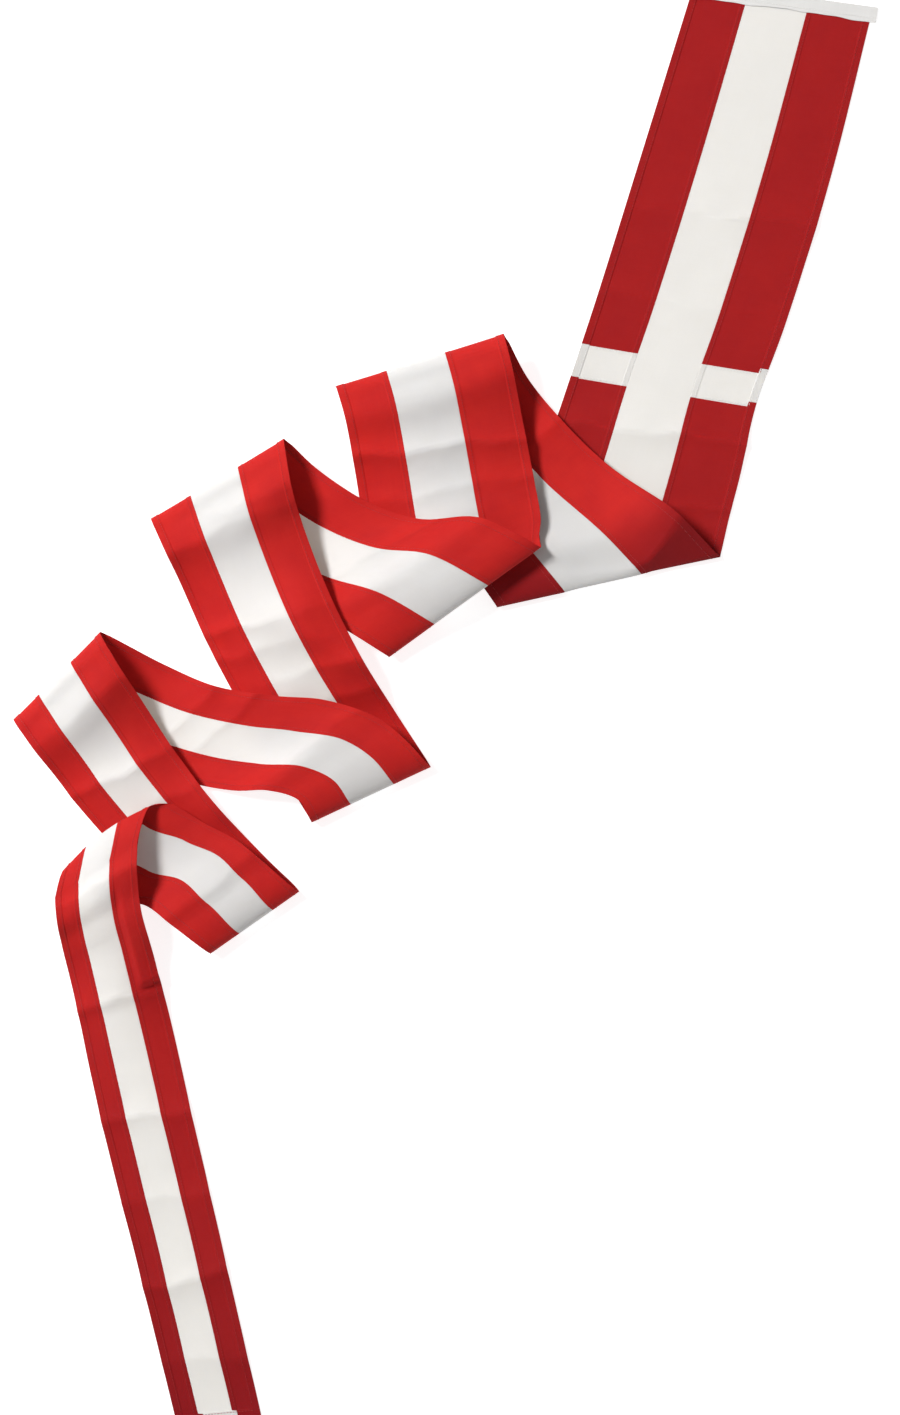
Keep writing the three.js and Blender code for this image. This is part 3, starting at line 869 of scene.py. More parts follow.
@dataclass
class ClothPiece:
    """One strip of cloth between two offsets and two distances from the heading.

    A strip on a side has a turned hem on its outer edge and a felled seam on its inner edge. The stripe has
    side None and lies between the two seams.
    """

    name: str
    node: str
    slot: str
    start: float
    end: float
    side: Side | None
    make: Make
    cloth: LaidCloth

    def _insets(self) -> tuple[np.ndarray, np.ndarray]:
        """Fixed distances from the two edges at which the section has points, from the edge inwards."""
        make = self.make
        edge = np.array([0, 0.06, 0.16, 0.3, 0.9])
        hem = np.array([2.4, 4.2, 5.8, 7.0, make.hem_depth - 0.5, make.hem_depth - 0.12])
        hem_foot = np.array([make.hem_depth + 0.14, make.hem_depth + 0.7, make.hem_depth + 2.5])
        fell = np.array([2.2, 3.4, make.fell_width - 0.9, make.fell_width - 0.25])
        fell_foot = np.array([make.fell_width + 0.25, make.fell_width + 1.0])
        if self.side is None:
            plain = np.concatenate([edge, [2.2, 4.5]])
            return plain, plain
        return np.concatenate([edge, hem, hem_foot]), np.concatenate([edge, fell, fell_foot])

    def _section(self, along: np.ndarray) -> tuple[np.ndarray, np.ndarray, np.ndarray]:
        """Offsets of the section's points from left to right, with their insets from the two edges.

        Args:
            along: Distances from the heading, one per row.

        Returns:
            The offsets, the distances from the outer edge and the distances from the seam, by row and point.
            For the stripe the outer edge is its left seam.
        """
        cut, gap = self.cloth.cut, self.make.seam_gap
        if self.side is None:
            outer = cut.seam(along, Side.LEFT) + gap
            inner = cut.seam(along, Side.RIGHT) - gap
        else:
            outer = cut.edge(along, self.side)
            inner = cut.seam(along, self.side) + self.side.value * gap
        width = np.abs(inner - outer)[:, None]
        from_outer, from_inner = self._insets()
        low = from_outer[-1]
        high = width - from_inner[-1]
        middle = mix(low, high, (np.arange(9)[None, :] + 1) / 10)
        near = np.broadcast_to(from_outer, (len(along), len(from_outer)))
        inset = np.concatenate([near, middle, width - from_inner[::-1]], axis=1)
        offset = outer[:, None] + np.sign(inner - outer)[:, None] * inset
        seam = width - inset
        if self.side is Side.RIGHT:
            return offset[:, ::-1], inset[:, ::-1], seam[:, ::-1]
        return offset, inset, seam

    def _rows(self) -> np.ndarray:
        """Distances of the rows: the cloth's own, with close ones at both ends and at the tail hem."""
        close = np.array([0, 0.1, 0.3, 0.9])
        rows = self.cloth.alongs
        tail = self.cloth.cut.length - self.make.tail_depth + np.array([-0.9, -0.3, 0.3, 0.9])
        extra = tail[(tail > self.start + 1.5) & (tail < self.end - 1.5)]
        kept = rows[(rows > self.start + 1.6) & (rows < self.end - 1.6)]
        kept = kept[np.abs(kept[:, None] - tail[None, :]).min(axis=1) > 0.7]
        return np.sort(np.concatenate([self.start + close, kept, extra, self.end - close]))

    def build(self, shop: Workshop, material: bpy.types.Material) -> bpy.types.Object:
        """Makes the strip as a closed shell.

        The back face is half the thickness below the middle surface. The front face is half the thickness
        above it, and higher by the hem, the felled seam and the tail hem. All edges are rounded. The turned
        hem carries its colours a little way along, and the turned tail carries them a little way across.

        Args:
            shop: Where the piece is made.
            material: Its finish.

        Returns:
            The new piece.
        """
        make, cut = self.make, self.cloth.cut
        rows = self._rows()
        offset, outer, seam = self._section(rows)
        along = np.broadcast_to(rows[:, None], offset.shape)
        ends = np.minimum(rows - self.start, self.end - rows)[:, None]
        round_off = make.rounding(outer) * make.rounding(seam) * make.rounding(ends)
        rise = np.zeros_like(offset)
        hem = np.zeros_like(offset)
        slip = 0.0
        if self.side is not None:
            hem = 1 - ease((outer - make.hem_depth + 0.15) / 0.3)
            fell = 1 - ease((seam - make.fell_width + 0.3) / 0.6)
            rise = rise + make.hem_rise * hem + make.fell_rise * fell
            slip = make.front_slip[self.side]
        turned = ease((along - (cut.length - make.tail_depth) + 0.35) / 0.7)
        rise = np.maximum(rise, make.hem_rise * turned)
        pull = np.exp(-outer / (5 if self.side is None else 6)) + np.exp(-seam / 5)
        wave = along / make.pucker_length * 2 * math.pi
        pucker = make.pucker * pull * np.sin(wave + 1.7 * np.sin(along / 31) + 0.9 * np.sin(along / 13))
        half = make.thickness / 2
        front = pucker + (half + rise) * round_off
        back = pucker - half * round_off
        ends_free = ease(np.minimum(rows - 30, cut.length - 20 - rows) / 20)[:, None]
        front_along = along - slip * hem * ends_free
        inwards = 1 - outer / (outer + seam) if self.side is not None else np.zeros_like(outer)
        front_offset = offset + make.tail_turn * turned * (1 - inwards)
        ring = [
            np.concatenate([a, b[:, ::-1]], axis=1)
            for a, b in ((along, front_along), (offset, front_offset), (back, front))
        ]
        points = self.cloth.place(*ring)
        sheet_place = np.stack([ring[1], ring[0]], axis=-1)
        return shop.piece(self.name, points, ring_faces(*ring[0].shape), sheet_place, material)

    def flat_size(self) -> tuple[tuple[float, float], float]:
        """Size that the strip was cut to, in metres, with its turnings, and its area in square metres."""
        make, cut = self.make, self.cloth.cut
        ends = np.array([self.start, self.end])
        if self.side is None:
            widths = cut.seam(ends, Side.RIGHT) - cut.seam(ends, Side.LEFT)
            turnings = 2 * make.fell_width
        else:
            widths = np.abs(cut.edge(ends, self.side) - cut.seam(ends, self.side))
            turnings = make.hem_depth + make.fell_width
        length = self.end - self.start
        length += make.tail_depth if self.end > cut.length - 2 else 0.0
        width = widths.max() + turnings
        area = (widths.mean() + turnings) * length
        return (width * METRES_PER_MM, length * METRES_PER_MM), area * METRES_PER_MM**2


@dataclass(frozen=True)
class StitchShape:
    """One stitch: a short bead of thread that dips into the cloth at both ends."""

    length: float = 2.5
    pitch: float = 3.2
    radius: float = 0.24
    sides: int = 5
    stations: tuple[float, ...] = (0.0, 0.2, 0.8, 1.0)
    swell: tuple[float, ...] = (0.4, 1.0, 1.0, 0.4)
    lift: tuple[float, ...] = (-0.1, 0.16, 0.16, -0.1)
    jitter: float = 0.12

    def runs(self, first: np.ndarray) -> np.ndarray:
        """Distances of every bead's stations along its row, from the distances where the beads start."""
        return first[:, None] + np.array(self.stations)[None, :] * self.length

    def rings(self) -> tuple[np.ndarray, np.ndarray]:
        """Sideways and upward offsets of a bead's points, by station and side."""
        angle = np.arange(self.sides) * 2 * math.pi / self.sides
        swell = np.array(self.swell)[:, None] * self.radius
        return swell * np.cos(angle), swell * np.sin(angle) + np.array(self.lift)[:, None]


@dataclass
class StitchRow:
    """A row of stitches through some corners on the cloth, on one face or on both.

    corners are (distance along, offset) pairs. stand is the height of the cloth's face under the row, for
    the front and for the back. No stitch lies between the two distances along in skip.
    """

    name: str
    node: str
    slot: str
    corners: tuple[tuple[float, float], ...]
    stand: dict[Face, float]
    cloth: LaidCloth
    skip: tuple[float, float] = (0.0, 0.0)
    shape: StitchShape = StitchShape()

    def _line(self, sewn: np.ndarray) -> tuple[np.ndarray, np.ndarray, np.ndarray]:
        """Distance along, offset and direction of the row after a length has been sewn."""
        corners = np.array(self.corners)
        steps = np.diff(corners, axis=0)
        lengths = np.linalg.norm(steps, axis=1)
        reached = np.concatenate([[0.0], np.cumsum(lengths)])
        part = np.clip(np.searchsorted(reached, sewn, side="right") - 1, 0, len(lengths) - 1)
        direction = (steps / lengths[:, None])[part]
        place = corners[part] + direction * (sewn - reached[part])[..., None]
        return place[..., 0], place[..., 1], direction

    def build(self, shop: Workshop, material: bpy.types.Material) -> bpy.types.Object:
        """Makes the row as one piece of separate closed beads.

        A bead has a small ring of points at each station. The ring is worked out in the cloth's own
        distances, so it follows every bend of the surface.

        Args:
            shop: Where the piece is made.
            material: Its finish.

        Returns:
            The new piece.
        """
        shape = self.shape
        sewn = float(np.linalg.norm(np.diff(np.array(self.corners), axis=0), axis=1).sum())
        chance = np.random.default_rng(len(self.name))
        sideways, upwards = shape.rings()
        points, places, faces, beads = [], [], [], 0
        for turn, (face, stand) in enumerate(self.stand.items()):
            first = (np.arange(int(sewn / shape.pitch) - 1) + 0.1 + 0.5 * turn) * shape.pitch
            first = first + chance.uniform(-shape.jitter, shape.jitter, len(first))
            middle = self._line(first + shape.length / 2)[0]
            first = first[(middle < self.skip[0]) | (middle > self.skip[1])]
            along, offset, _ = self._line(shape.runs(first))
            direction = self._line(first + shape.length / 2)[2][:, None, None, :]
            place_along = along[:, :, None] - direction[..., 1] * sideways
            place_offset = offset[:, :, None] + direction[..., 0] * sideways
            height = (stand + upwards) * face.value + 0 * place_along
            points.append(self.cloth.place(place_along, place_offset, height))
            places.append(np.stack([place_offset, place_along], axis=-1))
            faces.append(bead_faces(shape, len(first), beads, face))
            beads += len(first)
        return shop.piece(
            self.name, np.concatenate(points), np.concatenate(faces), np.concatenate(places), material
        )


def bead_faces(shape: StitchShape, count: int, before: int, face: Face) -> np.ndarray:
    """Faces of some closed beads: triangles round each bead and a fan at each tip.

    Args:
        shape: The stitch.
        count: How many beads.
        before: How many beads the mesh already has.
        face: The face that they lie on, which decides which way round their points run.

    Returns:
        Three point numbers per face.
    """
    sides, rings = shape.sides, len(shape.stations)
    i = np.arange(rings - 1)[:, None] * sides
    k = np.arange(sides)[None, :]
    after = (k + 1) % sides
    walls = np.stack([i + k, i + after, i + sides + after, i + sides + k], axis=-1).reshape(-1, 4)
    fan = np.array([[0, j + 2, j + 1] for j in range(sides - 2)])
    bead = np.concatenate([walls[:, [0, 1, 2]], walls[:, [0, 2, 3]], fan, fan[:, ::-1] + (rings - 1) * sides])
    shell = bead if face is Face.BACK else bead[:, ::-1]
    start = (before + np.arange(count))[:, None, None] * sides * rings
    return (start + shell[None]).reshape(-1, 3)


@dataclass
class HeadingTape:
    """One tape folded over the wide end of the cloth, with a slightly wavy open edge."""

    cloth: LaidCloth
    depth: float = 16.0
    wall: float = 0.5
    clearance: float = 0.3
    overhang: float = 5.0
    cloth_thickness: float = 0.8
    seam_inset: float = 4.0
    node: str = "heading_tape"

    @property
    def height(self) -> float:
        """Full height of the folded tape."""
        return 2 * (self.wall + self.clearance) + self.cloth_thickness

    def axes(self) -> tuple[np.ndarray, np.ndarray, np.ndarray, float]:
        """Start of the fold line at the left, the directions across and back, and the tape's length."""
        cut = self.cloth.cut
        left = self.cloth.place(0.0, -cut.hoist_width / 2, 0.0)
        right = self.cloth.place(0.0, cut.hoist_width / 2, 0.0)
        across = (right - left) * np.array([1, 1, 0])
        across = across / np.linalg.norm(across)
        back = np.array([-across[1], across[0], 0])
        start = left * np.array([1, 1, 0]) + back * self.height / 2
        return start, across, back, float(np.linalg.norm(right - left)) + self.overhang

    def lowest_corner(self) -> np.ndarray:
        """Lowest corner of the plain tape's box, in the layout's millimetres."""
        start, across, back, length = self.axes()
        corners = [start + a * across * length - b * back * self.depth for a in (0, 1) for b in (0, 1)]
        return np.min(corners, axis=0)

    def _point(self, run: np.ndarray, inwards: np.ndarray, height: np.ndarray) -> np.ndarray:
        """Point of the tape from its run across, its distance inwards from the fold line and its height."""
        start, across, back, _ = self.axes()
        up = np.array([0, 0, 1])
        return start + run[..., None] * across - inwards[..., None] * back + height[..., None] * up

    def build(self, shop: Workshop, material: bpy.types.Material) -> bpy.types.Object:
        """Carries a U section across the cloth: out along the bottom, round the fold and back on top.

        The upper leg's edge wanders in depth and its wall has low swells, as a hand-fed tape has.

        Args:
            shop: Where the piece is made.
            material: Its finish.

        Returns:
            The new piece.
        """
        bend = self.height / 2
        length = self.axes()[3]
        close = np.array([0, 0.15, 0.5])
        run = np.concatenate([close, np.linspace(1.5, length - 1.5, 90), length - close[::-1]])
        leg = np.concatenate([[self.depth, self.depth - 0.2], np.linspace(self.depth - 0.8, bend, 9)])
        turn = np.linspace(-math.pi / 2, math.pi / 2, 13)[1:-1]

        def side(radius: float) -> tuple[np.ndarray, np.ndarray, np.ndarray]:
            """Inward distance, height and share of the upper leg of one side of the wall."""
            arc_in = bend - radius * np.cos(turn)
            arc_up = bend + radius * np.sin(turn)
            inwards = np.concatenate([leg, arc_in, leg[::-1]])
            flat = np.ones(len(leg))
            level = np.concatenate([flat * (bend - radius), arc_up, flat * (bend + radius)])
            upper = np.concatenate([flat * 0, ease((turn + math.pi / 2) / math.pi), flat])
            return inwards, level, upper

        outer, inner = side(bend), side(bend - self.wall)
        inwards, level, upper = (np.concatenate([a, b[::-1]])[None, :] for a, b in zip(outer, inner))
        wander = 0.7 * np.sin(run / 23) + 0.5 * np.sin(run / 9.1 + 1) + 0.25 * np.sin(run / 4.3)
        swell = 0.16 * np.sin(run / 11 + 2) + 0.1 * np.sin(run / 5.7)
        reach = np.clip(inwards / self.depth, 0, 1)
        deeper = inwards + wander[:, None] * upper * reach**2
        raised = level + (0.2 + swell[:, None]) * upper * 4 * reach * (1 - reach)
        across = np.broadcast_to(run[:, None], deeper.shape)
        points = self._point(across, deeper, raised)
        sheet_place = np.stack([across, deeper + 40 * upper], axis=-1)
        faces = ring_faces(*deeper.shape)
        return shop.piece("heading_tape_folded", points, faces[:, ::-1], sheet_place, material)

    def build_stitches(self, shop: Workshop, material: bpy.types.Material) -> bpy.types.Object:
        """Sews the tape with one row of stitches above its open edge, on the upper face.

        Args:
            shop: Where the piece is made.
            material: Its finish.

        Returns:
            The new piece.
        """
        shape = StitchShape()
        length = self.axes()[3]
        end_inset, stand = 3, 0.2
        count = int((length - 2 * end_inset) / shape.pitch)
        sideways, upwards = shape.rings()
        run, inwards, height = np.broadcast_arrays(
            shape.runs(end_inset + np.arange(count) * shape.pitch)[:, :, None],
            self.depth - self.seam_inset + sideways,
            self.height + stand + upwards,
        )
        points = self._point(run, inwards, height)
        faces = bead_faces(shape, count, 0, Face.FRONT)
        return shop.piece("heading_stitches", points, faces, np.stack([run, inwards], axis=-1), material)


# ---------------------------------------------------------------- finishes


def feed(tree: bpy.types.NodeTree, node: bpy.types.Node, values: dict[str | int, object]) -> None:
    """Sets inputs of a node, by name or number, to constants or from the sockets of other nodes."""
    for key, value in values.items():
        if isinstance(value, bpy.types.NodeSocket):
            tree.links.new(value, node.inputs[key])
        else:
            node.inputs[key].default_value = value


def add_node(
    tree: bpy.types.NodeTree, kind: str, values: dict[str | int, object], **settings: object
) -> bpy.types.Node:
    """Adds a shader node.

    Args:
        tree: Where it goes.
        kind: Its type, without the usual "ShaderNode".
        values: Constants or sockets for its inputs, by name or number.
        settings: Other attributes of the node, which are set first.

    Returns:
        The new node.
    """
    node = tree.nodes.new(f"ShaderNode{kind}")
    for key, value in settings.items():
        setattr(node, key, value)
    feed(tree, node, values)
    return node


def math_node(tree: bpy.types.NodeTree, operation: str, *values: object) -> bpy.types.NodeSocket:
    """Result of a Math node. Values are numbers or sockets."""
    return add_node(tree, "Math", dict(enumerate(values)), operation=operation).outputs[0]


def ranged(
    tree: bpy.types.NodeTree, value: bpy.types.NodeSocket, low: float, high: float
) -> bpy.types.NodeSocket:
    """Stretches a value from 0 to 1 onto low to high."""
    return add_node(tree, "MapRange", {"Value": value, "To Min": low, "To Max": high}).outputs["Result"]


def bumped(
    tree: bpy.types.NodeTree, height: bpy.types.NodeSocket, strength: float, distance: float
) -> bpy.types.NodeSocket:
    """Normal of a surface with a fine relief, distance metres deep."""
    values = {"Height": height, "Strength": strength, "Distance": distance}
    return add_node(tree, "Bump", values).outputs["Normal"]


def new_material(name: str) -> tuple[bpy.types.Material, bpy.types.NodeTree, bpy.types.Node]:
    """A new material, its node tree and its shader."""
    material = bpy.data.materials.new(name)
    material.use_nodes = True
    return material, material.node_tree, material.node_tree.nodes["Principled BSDF"]


def opaque(colour: Vector3) -> tuple[float, float, float, float]:
    """A colour with its fourth number, which is 1."""
    return (*colour, 1.0)


class Effects:
    """Shader node groups that several finishes share."""

    def __init__(self) -> None:
        """Builds each group once."""
        self.weave = self._weave()
        self.mottle = self._mottle()

    @staticmethod
    def _group(name: str, inputs: dict[str, object], outputs: dict[str, str]) -> bpy.types.NodeTree:
        """Makes an empty group with named sockets.

        Args:
            name: The group's name.
            inputs: Default value by name: a number, a colour, or None for a place.
            outputs: Socket kind by name.

        Returns:
            The new group, with its input and output nodes.
        """
        group = bpy.data.node_groups.new(name, "ShaderNodeTree")
        kinds = {float: "NodeSocketFloat", tuple: "NodeSocketColor", type(None): "NodeSocketVector"}
        for label, value in inputs.items():
            socket = group.interface.new_socket(label, in_out="INPUT", socket_type=kinds[type(value)])
            if value is not None:
                socket.default_value = value
        for label, kind in outputs.items():
            group.interface.new_socket(label, in_out="OUTPUT", socket_type=kind)
        group.nodes.new("NodeGroupInput").name = "in"
        group.nodes.new("NodeGroupOutput").name = "out"
        return group

    def _weave(self) -> bpy.types.NodeTree:
        """Plain weave: warp and weft are half sine waves, and a chessboard says which of them is on top.

        The yarns vary in thickness by a noise drawn out along each of them.
        """
        inputs = {"Place": None, "Yarns per metre": 1700.0, "Slub": 0.5}
        group = self._group("plain_weave", inputs, {"Height": "NodeSocketFloat", "Slub": "NodeSocketFloat"})
        given = group.nodes["in"].outputs
        values = {0: given["Place"], "Scale": given["Yarns per metre"]}
        scaled = add_node(group, "VectorMath", values, operation="SCALE").outputs[0]
        split = add_node(group, "SeparateXYZ", {0: scaled}).outputs
        turns = [math_node(group, "MULTIPLY", split[axis], math.pi) for axis in (0, 1)]
        waves = [math_node(group, "SINE", turn) for turn in turns]
        level = math_node(group, "MULTIPLY_ADD", math_node(group, "MULTIPLY", *waves), 0.5, 0.5)
        slubs = []
        for stretch in ((1.0, 0.03, 1.0), (0.03, 1.0, 1.0)):
            drawn = add_node(group, "Mapping", {"Scale": stretch, "Vector": scaled}).outputs[0]
            noise = add_node(group, "TexNoise", {"Scale": 0.45, "Detail": 1.0, "Vector": drawn})
            slubs.append(noise.outputs["Fac"])
        slub = math_node(group, "SUBTRACT", math_node(group, "ADD", *slubs), 1.0)
        weighed = math_node(group, "MULTIPLY", slub, given["Slub"])
        feed(group, group.nodes["out"], {"Height": math_node(group, "ADD", level, weighed), "Slub": slub})
        return group

    def _mottle(self) -> bpy.types.NodeTree:
        """Uneven dye and handling: broad patches and yarn streaks shift a colour between two shades. A given
        darkening then blends it towards a darker colour, which on the red cloth is painted shade at the first
        fold.
        """
        inputs = {
            "Place": None,
            "Colour": (0.5, 0.5, 0.5, 1),
            "Shade": (0.4, 0.4, 0.4, 1),
            "Streak": 0.0,
            "Streak amount": 0.3,
            "Patch amount": 0.5,
            "Deep": (0.3, 0.3, 0.3, 1),
            "Depth": 0.0,
        }
        group = self._group("uneven_dye", inputs, {"Colour": "NodeSocketColor", "Mask": "NodeSocketFloat"})
        given = group.nodes["in"].outputs
        noise = {"Scale": 22.0, "Detail": 4.0, "Roughness": 0.6, "Vector": given["Place"]}
        patch = add_node(group, "TexNoise", noise).outputs["Fac"]
        spread = math_node(group, "MULTIPLY_ADD", patch, 3.0, -1.0)
        broad = math_node(group, "MULTIPLY", spread, given["Patch amount"])
        fine = math_node(group, "MULTIPLY", given["Streak"], given["Streak amount"])
        mask = add_node(group, "Clamp", {"Value": math_node(group, "ADD", broad, fine)}).outputs[0]
        colour = given["Colour"]
        # The second blend darkens by the given amount. On the red cloth it is darker near the heading and
        # tail, and it is painted shade at the first fold.
        for share, other in ((mask, given["Shade"]), (given["Depth"], given["Deep"])):
            values = {"Factor": share, "A": colour, "B": other}
            colour = add_node(group, "Mix", values, data_type="RGBA").outputs["Result"]
        feed(group, group.nodes["out"], {"Colour": colour, "Mask": mask})
        return group


@dataclass(frozen=True)
class ClothFinish:
    """Woven flag cloth or tape: two close shades, a plain weave, a soft sheen and some light let through.

    deep is the colour where the cloth is darkest. depths says how far towards it the colour goes at some
    distances along. It is darker near the heading and towards the tail, and it is painted shade where the
    first fold turns away from the lamp.
    """

    name: str
    colour: Vector3
    shade: Vector3
    through: Vector3
    yarns: float = 1700.0
    roughness: float = 0.74
    sheen: float = 0.22
    glow: float = 0.3
    patches: float = 0.35
    deep: Vector3 = (0.5, 0.5, 0.5)
    depths: tuple[tuple[float, float], ...] = ()

    def make(self, effects: Effects) -> bpy.types.Material:
        """Builds the material.

        Args:
            effects: The shared node groups.

        Returns:
            The material, read through the piece's own map "cloth".
        """
        material, tree, shader = new_material(self.name)
        place = add_node(tree, "UVMap", {}, uv_map="cloth").outputs[0]
        values = {"Yarns per metre": self.yarns, "Place": place}
        weave = add_node(tree, "Group", values, node_tree=effects.weave).outputs
        values = {
            "Colour": opaque(self.colour),
            "Shade": opaque(self.shade),
            "Patch amount": self.patches,
            "Place": place,
            "Streak": weave["Slub"],
        }
        # Darkening along the cloth, which is painted shade at the first fold.
        if self.depths:
            values |= {"Deep": opaque(self.deep), "Depth": self._depth(tree, place)}
        surface_colour = add_node(tree, "Group", values, node_tree=effects.mottle).outputs
        values = {
            "Base Color": surface_colour["Colour"],
            "Roughness": ranged(tree, weave["Height"], self.roughness, self.roughness + 0.12),
            "Normal": bumped(tree, weave["Height"], 0.5, 0.00012),
            "IOR": 1.45,
            "Specular IOR Level": 0.18,
            "Sheen Weight": self.sheen,
            "Sheen Roughness": 0.45,
            "Sheen Tint": opaque(self.colour),
            "Subsurface Weight": self.glow,
            "Subsurface Radius": self.through,
            "Subsurface Scale": 0.0012,
        }
        feed(tree, shader, values)
        return material

    def _depth(self, tree: bpy.types.NodeTree, place: bpy.types.NodeSocket) -> bpy.types.NodeSocket:
        """How far the colour is darkened along the cloth, from 0 to 1. It is darker near the heading and
        towards the tail, and it is painted shade at the first fold.

        Args:
            tree: The material's nodes.
            place: The map "cloth", whose second number is the distance from the heading in metres.

        Returns:
            The darkening, as a grey level.
        """
        along = add_node(tree, "SeparateXYZ", {0: place}).outputs["Y"]
        share = add_node(tree, "MapRange", {"From Max": CutSizes.length * METRES_PER_MM, "Value": along})
        levels = add_node(tree, "ValToRGB", {"Fac": share.outputs["Result"]})
        elements = levels.color_ramp.elements
        while len(elements) < len(self.depths):
            elements.new(1.0)
        for element, (distance, depth) in zip(elements, self.depths):
            element.position = distance / CutSizes.length
            element.color = opaque((depth, depth, depth))
        return levels.outputs["Color"]


@dataclass(frozen=True)
class ThreadFinish:
    """Sewing thread: two shades that vary along the row, and a fine twist."""

    name: str
    colour: Vector3
    shade: Vector3

    def make(self, effects: Effects) -> bpy.types.Material:
        """Builds the material.

        Args:
            effects: The shared node groups.

        Returns:
            The material.
        """
        material, tree, shader = new_material(self.name)
        place = add_node(tree, "TexCoord", {}).outputs["Object"]
        values = {"Colour": opaque(self.colour), "Shade": opaque(self.shade), "Place": place}
        surface_colour = add_node(tree, "Group", values, node_tree=effects.mottle).outputs
        twist = add_node(tree, "TexWave", {"Scale": 900.0, "Vector": place}, bands_direction="DIAGONAL")
        values = {
            "Base Color": surface_colour["Colour"],
            "Roughness": ranged(tree, surface_colour["Mask"], 0.5, 0.62),
            "Normal": bumped(tree, twist.outputs["Fac"], 0.3, 0.00005),
            "Specular IOR Level": 0.35,
            "Sheen Weight": 0.15,
        }
        feed(tree, shader, values)
        return material


FINISHES = (
    ClothFinish(
        "red_cloth",
        (0.485, 0.0135, 0.0108),
        (0.38, 0.0085, 0.0100),
        (1.0, 0.12, 0.06),
        glow=0.25,
        sheen=0.05,
        patches=0.55,
        # The red darkens towards this colour near the heading and towards the tail. It is painted shade where
        # the first fold turns away from the lamp, from 610 to 740 mm.
        deep=(0.20, 0.004, 0.0065),
        depths=(
            *((0, 0.62), (610, 0.6), (670, 0.95), (740, 0.0)),
            *((2900, 0.1), (3100, 0.42), (3400, 0.75), (3520, 0.95)),
        ),
    ),
    ClothFinish(
        "white_cloth", (0.615, 0.605, 0.59), (0.58, 0.57, 0.555), (1.0, 0.95, 0.85), glow=0.7, sheen=0.1
    ),
    ClothFinish(
        "heading_tape", (0.66, 0.65, 0.635), (0.60, 0.59, 0.575), (1.0, 0.95, 0.9), yarns=900.0, sheen=0.1
    ),
    ThreadFinish("red_thread", (0.36, 0.008, 0.010), (0.24, 0.006, 0.008)),
    ThreadFinish("white_thread", (0.78, 0.77, 0.74), (0.66, 0.65, 0.62)),
)


# ---------------------------------------------------------------- the pennant


